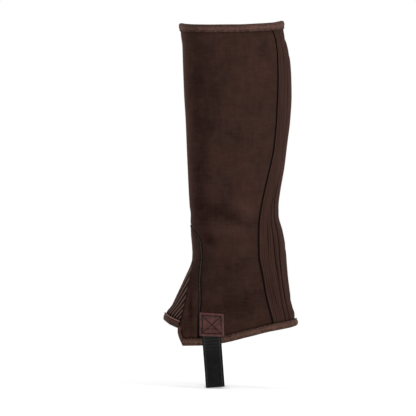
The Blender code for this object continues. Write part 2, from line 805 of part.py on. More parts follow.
def build_band(name, rows, thickness, material):
    """A band whose inner face is a grid of points, thickened to the outside."""
    last_row, last_column = len(rows) - 1, len(rows[0]) - 1
    points = [point for row in rows for point in row]
    for r, row in enumerate(rows):
        for c, point in enumerate(row):
            along = rows[min(r + 1, last_row)][c] - rows[max(r - 1, 0)][c]
            across = row[min(c + 1, last_column)] - row[max(c - 1, 0)]
            points.append(point + along.cross(across).normalized() * thickness)
    width = last_column + 1
    layer = width * (last_row + 1)
    faces = []
    for r in range(last_row):
        for c in range(last_column):
            a = r * width + c
            corners = (a, a + 1, a + 1 + width, a + width)
            faces.append(corners)
            faces.append(tuple(corner + layer for corner in reversed(corners)))
    rim = [c for c in range(width)]
    rim += [r * width + last_column for r in range(1, last_row + 1)]
    rim += [last_row * width + c for c in range(last_column - 1, -1, -1)]
    rim += [r * width for r in range(last_row - 1, 0, -1)]
    for a, b in zip(rim, rim[1:] + rim[:1]):
        faces.append((b, a, a + layer, b + layer))
    return add_object(name, points, faces, material)


def ease(share):
    share = max(0.0, min(1.0, share))
    return share * share * (3 - 2 * share)


def strap_out(height):
    """How far the strap's inner face stands off the skin: it climbs over the hem binding."""
    return mix(GAP, STRAP_PROUD, ease((-0.1515 - height) / 0.0045))


def skin_beyond(side, x, height, out):
    """How far to the side the skin reaches at an x and a height."""
    return skin(side * side_turn(x, height), height, out).y


def strap_middle(height):
    return STRAP_X + math.tan(STRAP_LEAN) * (STRAP_Z - height)


strap_widths = [STRAP_WIDTH * (c / STRAP_COLUMNS - 0.5) for c in range(STRAP_COLUMNS + 1)]
strap_across = Vector((math.cos(STRAP_LEAN), 0, math.sin(STRAP_LEAN)))
strap_down = Vector((math.sin(STRAP_LEAN), 0, -math.cos(STRAP_LEAN)))
SEWN_HEIGHTS = (STRAP_TOP, -0.1515, -0.1538, -0.1560, -0.1610, -0.1660, -0.1705)
LOOSE_HEIGHTS = (-0.1790, -0.1890, -0.1990, -0.2080)


def strap_row(height, side):
    """The strap's inner face at one height on one side of the foot."""
    middle = Vector((strap_middle(height), 0, height))
    row = []
    for width in strap_widths:
        point = middle + strap_across * width
        hem = min(point.z - SEWN_HEIGHTS[-1], 0.0)
        at_skin = abs(skin_beyond(side, point.x, max(point.z, -0.1720), strap_out(point.z)))
        share = ease(hem / (LOOSE_HEIGHTS[-1] - SEWN_HEIGHTS[-1]))
        point.y = -side * mix(at_skin, STRAP_HALF_SPAN, share)
        row.append(point)
    return row


def strap_under_foot():
    """The strap's inner face round its lower corners and under the foot."""
    floor = STRAP_BOTTOM + STRAP
    corner_z = floor + STRAP_CORNER
    rows = []
    for sign in (-1, 1):
        turns = range(0, 91, 18) if sign < 0 else range(90, -1, -18)
        for angle in turns:
            y = sign * (STRAP_HALF_SPAN - STRAP_CORNER + STRAP_CORNER * math.cos(math.radians(angle)))
            height = corner_z - STRAP_CORNER * math.sin(math.radians(angle))
            middle = Vector((strap_middle(height), y, height))
            rows.append([middle + strap_across * width for width in strap_widths])
    return rows


near_strap = [strap_row(height, 1) for height in SEWN_HEIGHTS + LOOSE_HEIGHTS]
far_strap = [strap_row(height, -1) for height in (SEWN_HEIGHTS + LOOSE_HEIGHTS)[::-1]]
build_band("foot_strap", near_strap + strap_under_foot() + far_strap, STRAP, STRAP_BLACK)


def patch_point(side, across, up, extra):
    """A point of a patch, which lies on the panel and over the strap's sewn end."""
    left = Vector(PATCH_BOTTOM_LEFT).lerp(Vector(PATCH_TOP_LEFT), up)
    right = Vector(PATCH_BOTTOM_RIGHT).lerp(Vector(PATCH_TOP_RIGHT), up)
    x, height = left.lerp(right, across)
    over_strap = PATCH_COLUMNS[0] < across < PATCH_COLUMNS[-1] and up < 0.4
    out = strap_out(height - GAP) + STRAP + GAP if over_strap else GAP
    return skin(side * side_turn(x, height), height, out + extra)


for patch_name, side in (("strap_patch_near", 1), ("strap_patch_far", -1)):
    patch_rows = [
        [patch_point(side, across, up, 0.0) for across in PATCH_COLUMNS]
        for up in (PATCH_ROWS if side < 0 else PATCH_ROWS[::-1])
    ]
    build_band(patch_name, patch_rows, PATCH, PATCH_LEATHER)


# ---------------------------------------------------------------------------
# Zip on the far side
# ---------------------------------------------------------------------------

def over_binding(turn):
    """The lowest height at which the zip lies clear of the hem binding's inner fold."""
    return hem_height(turn) + INNER_FOLD * HEM_BINDING_WIDTH + 4 * GAP


def under_binding(turn):
    """The greatest height at which it lies clear of the top binding's."""
    return top_height(turn) - INNER_FOLD * TOP_BINDING_WIDTH - 6 * GAP


zip_foot = hem_height(-rear_turn(-0.151))
tape_low = over_binding(rear_turn(-0.151))
tape_high = under_binding(rear_turn(0.234))


def tape_rows(side):
    """A zip tape: straight by the chain, and parted round the slider's wedge."""
    closed, parted, middle, outer = (
        edge_turn(beside(zip_line, side * distance))
        for distance in (TAPE_PARTING, TAPE_WEDGE, TAPE_WIDTH / 2, TAPE_WIDTH)
    )

    def inner(height):
        share = ease((height - SLIDER_HEIGHT + SLIDER_LENGTH) / SLIDER_LENGTH)
        return mix(closed(height), parted(height), share)

    rows = [
        [Place(turn_at(place.height), place.height) for turn_at in (inner, middle, outer)]
        for place in rear_line(tape_low, tape_high)
    ]
    rows[0] = [Place(end.turn, over_binding(end.turn)) for end in rows[0]]
    rows[-1] = [Place(end.turn, under_binding(end.turn)) for end in rows[-1]]
    return rows


TAPE_OUT = -SUEDE - GAP
build_wall("zip_tape_front", [tape_rows(-1)], TAPE, ZIP_BLACK, out=TAPE_OUT)
build_wall("zip_tape_rear", [tape_rows(1)], TAPE, ZIP_BLACK, out=TAPE_OUT)

chain_high = SLIDER_HEIGHT - SLIDER_LENGTH / 2 - 2 * GAP
build_ribbon(
    "zip_chain",
    mirrored(rear_line(tape_low, chain_high)),
    [(-CHAIN_HALF_WIDTH, TAPE_OUT + GAP), (CHAIN_HALF_WIDTH, TAPE_OUT + GAP)],
    [(-0.8 * CHAIN_HALF_WIDTH, CHAIN_TOP), (0.8 * CHAIN_HALF_WIDTH, CHAIN_TOP)],
    ZIP_BLACK,
)


def zip_frame(height):
    """A frame on the zip's line: x across the zip, y up along it, z out of the skin."""
    line = mirrored(rear_path(height - 0.002, height + 0.002, 2))
    up = (bare_skin(*line[2]) - bare_skin(*line[0])).normalized()
    across, along = skin_slopes(*line[1])
    out = across.cross(along).normalized()
    right = up.cross(out).normalized()
    out = right.cross(up)
    origin = bare_skin(*line[1])
    return Matrix((
        (right.x, up.x, out.x, origin.x),
        (right.y, up.y, out.y, origin.y),
        (right.z, up.z, out.z, origin.z),
        (0, 0, 0, 1),
    ))


def add_block(name, low, high, frame, material, bevel=0.0):
    """A box between two corners in a frame, its edges bevelled."""
    work = bmesh.new()
    bmesh.ops.create_cube(work, size=1.0)
    middle = (Vector(low) + Vector(high)) / 2
    size = Vector(high) - Vector(low)
    bmesh.ops.scale(work, vec=size, verts=work.verts)
    bmesh.ops.translate(work, vec=middle, verts=work.verts)
    if bevel:
        bmesh.ops.bevel(work, geom=work.edges[:], offset=bevel, segments=1, affect="EDGES")
    mesh = bpy.data.meshes.new(name)
    work.to_mesh(mesh)
    work.free()
    mesh.materials.append(material)
    item = bpy.data.objects.new(name, mesh)
    item.matrix_world = frame
    bpy.context.collection.objects.link(item)
    return item


def shape_with(item, tool, operation):
    """Joins a tool to an item, or cuts it out of it."""
    tool.hide_render = True
    tool.display_type = "WIRE"
    change = item.modifiers.new(tool.name, "BOOLEAN")
    change.operation = operation
    change.object = tool


def add_bridge(name, frame, material):
    """The slider's bridge: an arch along the zip, which holds the pull tab."""
    points = []
    steps = 6
    for thick in (0.0, BRIDGE):
        for i in range(steps + 1):
            angle = math.pi * i / steps
            y = (BRIDGE_HALF_LENGTH - thick) * math.copysign(abs(math.cos(angle)) ** 0.6, math.cos(angle))
            z = slider_top + (BRIDGE_HEIGHT - thick) * math.sin(angle) ** 0.6
            if i in (0, steps):
                z = slider_top - 0.5 * SLIDER_PLATE
            points += [(-BRIDGE_WIDTH / 2, y, z), (BRIDGE_WIDTH / 2, y, z)]
    layer = 2 * (steps + 1)
    faces = []
    for i in range(steps):
        a = 2 * i
        faces.append((a, a + 1, a + 3, a + 2))
        faces.append((a + layer, a + 2 + layer, a + 3 + layer, a + 1 + layer))
        faces.append((a, a + 2, a + 2 + layer, a + layer))
        faces.append((a + 1, a + 1 + layer, a + 3 + layer, a + 3))
    for a in (0, 2 * steps):
        faces.append((a, a + layer, a + 1 + layer, a + 1) if a == 0 else (a, a + 1, a + 1 + layer, a + layer))
    item = add_object(name, points, faces, material)
    item.matrix_world = frame
    return item


slider_frame = zip_frame(SLIDER_HEIGHT)
slider_top = SLIDER_LIFT + SLIDER_PLATE
slider_back = TAPE_OUT - TAPE - BACK_CLEARANCE
half_length, half_width = SLIDER_LENGTH / 2, SLIDER_WIDTH / 2
slider = add_block(
    "zip_slider",
    (-half_width, -half_length, SLIDER_LIFT), (half_width, half_length, slider_top),
    slider_frame, ZIP_METAL, bevel=METAL_BEVEL,
)
flange_length = half_length - SLIDER_TRIM
for flange_name, side in (("flange_front", -1), ("flange_rear", 1)):
    inner_x, outer_x = half_width - SLIDER_FLANGE, half_width - SLIDER_TRIM / 4
    flange = add_block(
        flange_name,
        (min(side * inner_x, side * outer_x), -flange_length, TAPE_OUT + FLANGE_CLEARANCE),
        (max(side * inner_x, side * outer_x), flange_length, SLIDER_LIFT + JOIN),
        slider_frame, ZIP_METAL,
    )
    shape_with(slider, flange, "UNION")
wedge = add_block(
    "wedge",
    (-WEDGE_HALF_WIDTH, WEDGE_SPAN[0], slider_back - JOIN),
    (WEDGE_HALF_WIDTH, WEDGE_SPAN[1], SLIDER_LIFT + JOIN),
    slider_frame, ZIP_METAL,
)
shape_with(slider, wedge, "UNION")
back_plate = add_block(
    "back_plate",
    (-half_width + SLIDER_TRIM, -half_length + 1.5 * SLIDER_TRIM, slider_back - BACK_PLATE),
    (half_width - SLIDER_TRIM, half_length - 0.5 * SLIDER_TRIM, slider_back),
    slider_frame, ZIP_METAL,
)
shape_with(slider, back_plate, "UNION")
shape_with(slider, add_bridge("bridge", slider_frame, ZIP_METAL), "UNION")

# The pull tab hangs from its crossbar, which turns under the bridge.
tab_frame = slider_frame @ Matrix.Translation((0, 0, slider_top + TAB_AXIS_HEIGHT))
pull_tab = add_block(
    "zip_pull_tab",
    (-TAB_WIDTH / 2, -TAB_LENGTH, -TAB / 2), (TAB_WIDTH / 2, TAB / 2, TAB / 2),
    tab_frame, ZIP_METAL, bevel=METAL_BEVEL,
)
window_half = BRIDGE_WIDTH / 2 + TAB_CLEARANCE
window = add_block(
    "tab_window",
    (-window_half, -TAB_WINDOW, -TAB), (window_half, -TAB / 2, TAB),
    tab_frame, ZIP_METAL,
)
shape_with(pull_tab, window, "DIFFERENCE")

# The retainer box closes the zip's foot.
add_block(
    "zip_box",
    (-BOX_WIDTH / 2, -BOX_LENGTH / 2, TAPE_OUT - TAPE), (BOX_WIDTH / 2, BOX_LENGTH / 2, CHAIN_TOP),
    zip_frame((zip_foot + tape_low) / 2 - 2 * GAP), ZIP_METAL, bevel=0.0005,
)
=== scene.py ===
import math
from collections import namedtuple

import bmesh
import bpy
import numpy as np
from mathutils import Matrix, Vector


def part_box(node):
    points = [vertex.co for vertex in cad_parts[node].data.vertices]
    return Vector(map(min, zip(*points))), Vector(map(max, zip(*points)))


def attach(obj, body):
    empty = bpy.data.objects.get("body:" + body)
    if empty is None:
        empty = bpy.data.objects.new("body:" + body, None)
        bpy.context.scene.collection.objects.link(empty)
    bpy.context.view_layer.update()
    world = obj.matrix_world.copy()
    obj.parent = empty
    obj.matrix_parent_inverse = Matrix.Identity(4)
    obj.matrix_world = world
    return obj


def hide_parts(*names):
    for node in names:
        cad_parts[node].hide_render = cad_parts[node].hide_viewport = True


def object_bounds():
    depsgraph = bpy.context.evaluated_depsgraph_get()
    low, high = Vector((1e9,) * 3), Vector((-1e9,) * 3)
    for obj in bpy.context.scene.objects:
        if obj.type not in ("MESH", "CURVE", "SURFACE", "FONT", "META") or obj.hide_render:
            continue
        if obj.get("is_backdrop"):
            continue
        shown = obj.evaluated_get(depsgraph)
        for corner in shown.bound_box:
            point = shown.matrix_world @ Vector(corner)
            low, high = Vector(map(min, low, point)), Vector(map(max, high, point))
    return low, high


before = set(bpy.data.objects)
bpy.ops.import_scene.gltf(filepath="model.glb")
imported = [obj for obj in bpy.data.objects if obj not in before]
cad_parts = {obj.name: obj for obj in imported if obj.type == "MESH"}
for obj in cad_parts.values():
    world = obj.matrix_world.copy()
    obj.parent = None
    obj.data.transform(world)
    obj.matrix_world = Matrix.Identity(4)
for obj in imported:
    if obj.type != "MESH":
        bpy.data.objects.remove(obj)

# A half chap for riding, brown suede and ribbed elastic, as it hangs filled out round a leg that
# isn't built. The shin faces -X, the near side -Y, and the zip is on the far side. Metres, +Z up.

cad_low, cad_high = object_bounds()

# ---------------------------------------------------------------------------
# Main panel
# One piece of brown suede from the near rear seam round the shin to the zip, with an arched
# cut-out over the foot. It is cut flat, and takes the leg's form, with soft dents at the ankle.
# ---------------------------------------------------------------------------

Section = namedtuple("Section", "height front back half_width square egg")
SECTIONS = [
    # The closed skin that every piece lies on: square under 1 flattens the sides, and egg makes
    # the calf side fuller than the shin side.
    Section(0.2400, -0.0675, 0.0605, 0.0510, 1.00, 0.10),
    Section(0.2220, -0.0671, 0.0631, 0.0518, 1.00, 0.10),
    Section(0.2070, -0.0652, 0.0670, 0.0528, 1.00, 0.11),
    Section(0.1890, -0.0646, 0.0707, 0.0538, 1.00, 0.12),
    Section(0.1660, -0.0638, 0.0723, 0.0545, 1.00, 0.12),
    Section(0.1440, -0.0629, 0.0727, 0.0545, 1.00, 0.12),
    Section(0.1130, -0.0610, 0.0709, 0.0532, 1.00, 0.12),
    Section(0.0830, -0.0597, 0.0672, 0.0508, 1.00, 0.11),
    Section(0.0530, -0.0583, 0.0635, 0.0475, 1.00, 0.10),
    Section(0.0230, -0.0570, 0.0583, 0.0438, 1.00, 0.08),
    Section(0.0040, -0.0559, 0.0562, 0.0418, 1.00, 0.06),
    Section(-0.0080, -0.0550, 0.0568, 0.0412, 1.00, 0.05),
    Section(-0.0300, -0.0543, 0.0621, 0.0405, 1.00, 0.04),
    Section(-0.0450, -0.0530, 0.0648, 0.0402, 0.98, 0.03),
    Section(-0.0580, -0.0524, 0.0660, 0.0402, 0.96, 0.02),
    Section(-0.0680, -0.0547, 0.0667, 0.0403, 0.94, 0.01),
    Section(-0.0830, -0.0612, 0.0680, 0.0408, 0.90, 0.00),
    Section(-0.0980, -0.0680, 0.0698, 0.0415, 0.86, 0.00),
    Section(-0.1130, -0.0750, 0.0719, 0.0424, 0.82, 0.00),
    Section(-0.1285, -0.0822, 0.0748, 0.0433, 0.79, 0.00),
    Section(-0.1410, -0.0885, 0.0768, 0.0440, 0.77, 0.00),
    Section(-0.1720, -0.1040, 0.0795, 0.0455, 0.75, 0.00),
]

Place = namedtuple("Place", "turn height")
# Edges and seams of the near side, as turns in degrees and heights. The far side mirrors them.
TOP_EDGE = [
    Place(0, 0.2340),
    Place(8, 0.2338),
    Place(26, 0.2322),
    Place(45, 0.2308),
    Place(70, 0.2299),
    Place(95, 0.2298),
    Place(120, 0.2312),
    Place(143, 0.2332),
    Place(160, 0.2356),
    Place(172, 0.2368),
    Place(180, 0.2369),
]
HEM_EDGE = [
    Place(50, -0.1684),
    Place(56, -0.1682),
    Place(72, -0.1677),
    Place(88, -0.1646),
    Place(107, -0.1574),
    Place(130, -0.1502),
    Place(163, -0.1455),
    Place(180, -0.1443),
]
FRONT_SEAM = [
    Place(69.0, -0.1679),
    Place(66.5, -0.1590),
    Place(62.3, -0.1420),
    Place(59.0, -0.1275),
    Place(56.0, -0.1135),
    Place(50.0, -0.0970),
    Place(43.0, -0.0805),
    Place(37.5, -0.0645),
    Place(36.0, -0.0520),
    Place(35.8, -0.0430),
    Place(32.5, -0.0352),
    Place(20.0, -0.0268),
    Place(0.0, -0.0195),
]
SeamPoint = namedtuple("SeamPoint", "height x")
REAR_SEAM = [
    SeamPoint(0.2400, 0.0440),
    SeamPoint(0.2255, 0.0482),
    SeamPoint(0.2126, 0.0520),
    SeamPoint(0.1950, 0.0543),
    SeamPoint(0.1650, 0.0550),
    SeamPoint(0.1170, 0.0533),
    SeamPoint(0.0774, 0.0499),
    SeamPoint(0.0403, 0.0420),
    SeamPoint(0.0043, 0.0341),
    SeamPoint(-0.0139, 0.0315),
    SeamPoint(-0.0365, 0.0306),
    SeamPoint(-0.0580, 0.0312),
    SeamPoint(-0.0780, 0.0350),
    SeamPoint(-0.1084, 0.0403),
    SeamPoint(-0.1411, 0.0488),
    SeamPoint(-0.1600, 0.0535),
]

Fold = namedtuple("Fold", "turn height lean length width depth")
FOLDS = [
    # Soft dents (depth over 0) and swells (under 0). Turns and leans are in degrees; a lean of 0
    # runs round the leg, and 90 runs up it. The first rows are the solids' own.
    Fold(71, -0.005, 22, 0.018, 0.010, 0.0012),
    Fold(53, -0.038, 40, 0.014, 0.009, 0.0010),
    Fold(111, 0.000, 140, 0.011, 0.008, -0.0008),
    Fold(82, -0.062, 100, 0.018, 0.009, -0.0008),
    Fold(100, -0.090, 70, 0.022, 0.011, 0.0008),
    Fold(-70, -0.010, 155, 0.018, 0.010, 0.0012),
    Fold(-95, -0.035, 20, 0.015, 0.010, -0.0009),
    Fold(-60, -0.060, 60, 0.016, 0.009, 0.0009),
    Fold(-105, -0.085, 110, 0.020, 0.011, 0.0008),
    Fold(96, -0.012, 18, 0.013, 0.0045, 0.0006),
    Fold(64, -0.020, -15, 0.011, 0.0040, 0.0005),
    Fold(88, -0.030, 30, 0.012, 0.0050, -0.0005),
    Fold(70, -0.050, 75, 0.015, 0.0050, 0.0005),
    Fold(104, -0.060, 20, 0.012, 0.0060, 0.0005),
    Fold(92, 0.022, -10, 0.016, 0.0060, 0.0005),
    Fold(45, 0.010, 20, 0.018, 0.0070, 0.0005),
    Fold(58, 0.062, 80, 0.030, 0.0080, 0.0005),
    Fold(75, 0.120, 86, 0.040, 0.0090, -0.0005),
    Fold(30, 0.150, 84, 0.035, 0.0080, 0.0005),
    Fold(95, 0.185, 60, 0.020, 0.0090, 0.0004),
    Fold(84, -0.115, 95, 0.024, 0.0070, 0.0006),
    Fold(98, -0.128, 70, 0.018, 0.0070, -0.0005),
    Fold(75, -0.090, 115, 0.016, 0.0060, 0.0005),
    Fold(112, -0.110, 80, 0.018, 0.0060, 0.0004),
    Fold(10, 0.060, 88, 0.035, 0.0090, -0.0004),
    Fold(-18, 0.030, 70, 0.022, 0.0070, 0.0005),
    Fold(0, -0.004, 5, 0.020, 0.0055, 0.0006),
    Fold(-88, -0.014, -20, 0.014, 0.0045, 0.0006),
    Fold(-62, -0.028, 18, 0.011, 0.0040, 0.0005),
    Fold(-80, -0.046, -60, 0.015, 0.0050, -0.0005),
    Fold(-100, 0.018, 12, 0.016, 0.0060, 0.0005),
    Fold(-52, 0.075, -82, 0.030, 0.0080, 0.0005),
    Fold(-80, 0.135, -86, 0.040, 0.0090, -0.0005),
    Fold(-35, 0.170, -84, 0.032, 0.0080, 0.0005),
    Fold(-90, -0.118, 85, 0.024, 0.0070, 0.0006),
    Fold(-76, -0.132, 100, 0.018, 0.0060, -0.0005),
    # The instep panel's legs buckle a little between the piping and the gusset.
    Fold(47, -0.122, 108, 0.026, 0.0022, 0.0014),
    Fold(42, -0.124, 110, 0.018, 0.0024, -0.0005),
    Fold(51, -0.108, 104, 0.022, 0.0030, -0.0005),
    Fold(-46, -0.120, 72, 0.024, 0.0022, 0.0013),
    Fold(-53, -0.132, 70, 0.016, 0.0026, -0.0005),
    # The gusset's foot flares over the shoe, and the top edge flares at the shin and behind.
    Fold(0, -0.1290, 0, 0.030, 0.0060, -0.0024),
    Fold(0, 0.2345, 0, 0.014, 0.0060, -0.0006),
    Fold(180, 0.2370, 0, 0.014, 0.0050, -0.0006),
    # The elastic bunches behind the knee and over the heel.
    Fold(172, 0.214, 15, 0.010, 0.0030, 0.0009),
    Fold(160, 0.204, -20, 0.009, 0.0030, 0.0007),
    Fold(184, 0.196, 10, 0.010, 0.0032, 0.0007),
    Fold(196, 0.210, -16, 0.010, 0.0030, 0.0008),
    Fold(178, -0.008, 4, 0.016, 0.0045, 0.0004),
    Fold(165, -0.024, -12, 0.010, 0.0035, -0.0004),
    Fold(190, -0.020, 14, 0.012, 0.0035, -0.0004),
    Fold(175, -0.048, 8, 0.012, 0.0040, 0.0005),
    Fold(180, -0.1300, 0, 0.030, 0.0050, -0.0012),
    Fold(164, -0.1240, 24, 0.009, 0.0026, 0.0007),
    Fold(190, -0.1180, -18, 0.010, 0.0026, 0.0007),
    Fold(174, -0.1130, 12, 0.009, 0.0028, 0.0006),
    Fold(166, 0.2310, 58, 0.006, 0.0022, 0.0009),
    Fold(198, 0.2315, -52, 0.006, 0.0022, 0.0008),
]
SKIN_SPAN = 0.050          # metres of skin for each radian of turn, near enough for a soft spot
SEAM_TUCK = 0.0005         # from a piped seam's line to the edges that it hides under the piping
SEAM_ROLL = 0.0010         # how far those edges are drawn in
SEAM_ROLL_WIDTH = 0.0012
ZIP_CHANNEL = 0.0064       # from the zip's middle to the panels' edges
ZIP_STITCH_LINE = 0.0045   # from the turned edge by the zip to its row of stitches
SUEDE = 0.0014             # thickness of the suede
HEM_BINDING_WIDTH = 0.0078
TOP_BINDING_WIDTH = 0.0085
LIP_SHADOW = 1.06          # from a bound edge to the shadow under its binding's lip, in widths
RIM_BULGE = 0.35           # how far a cloth's rim is rounded out, in thicknesses
ARCH_STEPS = 108           # of the arch's seam, on each side
REAR_STEPS = 160           # of the rear seam and of the zip's line
PANEL_COLUMNS = 72         # of each half's grid, round the leg
PANEL_ROWS = 90            # of each half's grid, above the arch
PANEL_EASE = 0.85          # how far its columns crowd towards its two edges, from 0 to 1
SETTLE_ROUNDS = 8          # after which a line's end has settled on a sloping edge
BATCH = 4000               # points whose distances are worked out at a time
Wave = namedtuple("Wave", "height pitch start")
PUCKER = [
    # the ripples that a thread's pull leaves beside a seam
    Wave(1.0, 0.0085, 0.0),
    Wave(0.6, 0.0137, 1.3),
]
PUCKER_DEPTH = 0.00012
PUCKER_REACH = 0.006


def curve(places, values):
    """A smooth curve through a table's points, with no overshoot."""
    order = np.argsort(places)
    p, v = np.array(places, float)[order], np.array(values, float)[order]
    steps = np.diff(v) / np.diff(p)
    before, after = steps[:-1], steps[1:]
    turns = before * after <= 0
    middle = np.where(turns, 0.0, 2 * before * after / np.where(turns, 1.0, before + after))
    slopes = np.concatenate([steps[:1], middle, steps[-1:]])

    def at(place):
        place = np.asarray(place, float)
        i = np.clip(np.searchsorted(p, place, side="right") - 1, 0, len(p) - 2)
        span = p[i + 1] - p[i]
        f = (place - p[i]) / span
        inside = (
            (1 + 2 * f) * (1 - f) ** 2 * v[i]
            + f * (1 - f) ** 2 * span * slopes[i]
            + f * f * (3 - 2 * f) * v[i + 1]
            - f * f * (1 - f) * span * slopes[i + 1]
        )
        low = v[0] + slopes[0] * (place - p[0])
        high = v[-1] + slopes[-1] * (place - p[-1])
        return np.where(place < p[0], low, np.where(place > p[-1], high, inside))

    return at


SHAPE = {
    column: curve([row.height for row in SECTIONS], [getattr(row, column) for row in SECTIONS])
    for column in ("front", "back", "half_width", "square", "egg")
}


def bare_skin(turn, height):
    """The leg's form at turns and heights, before its folds."""
    s = {column: at(height) for column, at in SHAPE.items()}
    reach = (s["back"] - s["front"]) / 2
    side = np.sin(turn)
    side = np.copysign(np.abs(side) ** s["square"], side)
    x = s["front"] + reach * (1 - np.cos(turn))
    y = -s["half_width"] * side * (1 - s["egg"] * np.cos(turn))
    return np.stack([x, y, height + 0 * x], -1)


def unit(v):
    return v / np.linalg.norm(v, axis=-1, keepdims=True)


def slopes_at(turn, height):
    small_turn, small_height = 0.01, 0.0005
    across = bare_skin(turn + small_turn, height) - bare_skin(turn - small_turn, height)
    along = bare_skin(turn, height + small_height) - bare_skin(turn, height - small_height)
    return across / (2 * small_turn), along / (2 * small_height)


def outward(turn, height):
    return unit(np.cross(*slopes_at(turn, height)))


def soft_marks(rows, turn, height):
    """The sum of a table's soft spots at turns and heights."""
    depth = 0 * turn
    for fold in rows:
        away = turn - math.radians(fold.turn)
        across = (away - 2 * np.pi * np.round(away / (2 * np.pi))) * SKIN_SPAN
        up = height - fold.height
        lean = math.radians(fold.lean)
        along = across * math.cos(lean) + up * math.sin(lean)
        aside = up * math.cos(lean) - across * math.sin(lean)
        depth = depth + fold.depth * np.exp(-(along / fold.length) ** 2 - (aside / fold.width) ** 2)
    return depth


def skin(turn, height, out=0.0):
    """Points over the skin, out from it along its normal."""
    turn, height = np.broadcast_arrays(np.asarray(turn, float), np.asarray(height, float))
    lift = np.asarray(out) - soft_marks(FOLDS, turn, height)
    return bare_skin(turn, height) + outward(turn, height) * lift[..., None]


def side_turn(x, height):
    reach = (SHAPE["back"](height) - SHAPE["front"](height)) / 2
    return np.arccos(np.clip(1 - (x - SHAPE["front"](height)) / reach, -1, 1))


def mix(a, b, share):
    return a + (b - a) * share


def beside(path, distance):
    """A path of places moved sideways over the skin, to the left as seen from outside."""
    turn, height = path[:, 0], path[:, 1]
    points = bare_skin(turn, height)
    last = len(path) - 1
    after = points[np.minimum(np.arange(last + 1) + 1, last)]
    run = after - points[np.maximum(np.arange(last + 1) - 1, 0)]
    across, along = slopes_at(turn, height)
    left = unit(np.cross(np.cross(across, along), run))
    aa, ab, bb = (across ** 2).sum(-1), (across * along).sum(-1), (along ** 2).sum(-1)
    right = np.asarray(distance) * (across * left).sum(-1)
    up = np.asarray(distance) * (along * left).sum(-1)
    scale = aa * bb - ab * ab
    moved_turn = turn + (bb * right - ab * up) / scale
    return np.stack([moved_turn, height + (aa * up - ab * right) / scale], -1)


def running_length(points):
    steps = np.linalg.norm(np.diff(points, axis=0), axis=-1)
    return np.concatenate([[0.0], np.cumsum(steps)])


def trace(places, count):
    """A smooth path through a few places, cut into steps of even length."""
    turns = np.radians([place.turn for place in places])
    heights = np.array([place.height for place in places])
    lengths = running_length(bare_skin(turns, heights))
    at = np.linspace(0, lengths[-1], count + 1)
    return np.stack([curve(lengths, turns)(at), curve(lengths, heights)(at)], -1)


def mirrored(path):
    return path * np.array([-1.0, 1.0])


def edge_height(places):
    at = curve([math.radians(place.turn) for place in places], [place.height for place in places])
    return lambda turn: at(np.abs(turn - 2 * np.pi * np.round(turn / (2 * np.pi))))


def edge_turn(path):
    """A path's turn at any height, for a path that climbs all the way."""
    return curve(path[:, 1], path[:, 0])


top_height = edge_height(TOP_EDGE)
hem_height = edge_height(HEM_EDGE)
rear_seam_x = curve([point.height for point in REAR_SEAM], [point.x for point in REAR_SEAM])

near_front_seam = trace(FRONT_SEAM, ARCH_STEPS)
front_seam = np.concatenate([near_front_seam, mirrored(near_front_seam[-2::-1])])
rear_heights = np.linspace(REAR_SEAM[-1].height, REAR_SEAM[0].height, REAR_STEPS + 1)
rear_seam = np.stack([side_turn(rear_seam_x(rear_heights), rear_heights), rear_heights], -1)
zip_line = mirrored(rear_seam)
main_rear_turn = edge_turn(beside(rear_seam, SEAM_TUCK))
main_zip_turn = edge_turn(beside(zip_line, -ZIP_CHANNEL))


def nearest(points, path):
    """Each point's distance to a path over the skin."""
    fine = np.linspace(0, len(path) - 1, 8 * len(path))
    line = bare_skin(*(np.interp(fine, np.arange(len(path)), path[:, k]) for k in (0, 1)))
    flat = points.reshape(-1, 3)
    found = np.empty(len(flat))
    for start in range(0, len(flat), BATCH):
        part = flat[start:start + BATCH]
        found[start:start + BATCH] = np.sqrt(((part[:, None] - line[None]) ** 2).sum(-1)).min(1)
    return found.reshape(points.shape[:-1])


def hill(distance, width):
    """A soft hill, 1 at no distance and almost 0 at twice its width."""
    return np.exp(-(distance / width) ** 2)


def ripples(rows, lengths):
    """The sum of a table's waves at lengths along a path."""
    return sum(row.height * np.sin(lengths * 2 * np.pi / row.pitch + row.start) for row in rows)


def add_object(name, data):
    made = bpy.data.objects.new(name, data)
    bpy.context.collection.objects.link(made)
    return made


def patch_quads(patches):
    """The quads of grids, as indices into all their points one grid after another."""
    quads, start = [], 0
    for patch in patches:
        rows, columns = patch[0].shape
        corner = start + np.arange(rows * columns).reshape(rows, columns)
        corners = (corner[:-1, :-1], corner[:-1, 1:], corner[1:, 1:], corner[1:, :-1])
        quads.append(np.stack(corners, -1).reshape(-1, 4))
        start += rows * columns
    return np.concatenate(quads)


def lay_threads(mesh, uv):
    """Keeps each vertex's place along and across a cloth's own threads as the mesh's UV map."""
    corners = np.empty(len(mesh.loops), np.int32)
    mesh.loops.foreach_get("vertex_index", corners)
    layer = mesh.uv_layers.new(name="threads")
    layer.data.foreach_set("uv", uv[corners].astype(np.float32).ravel())


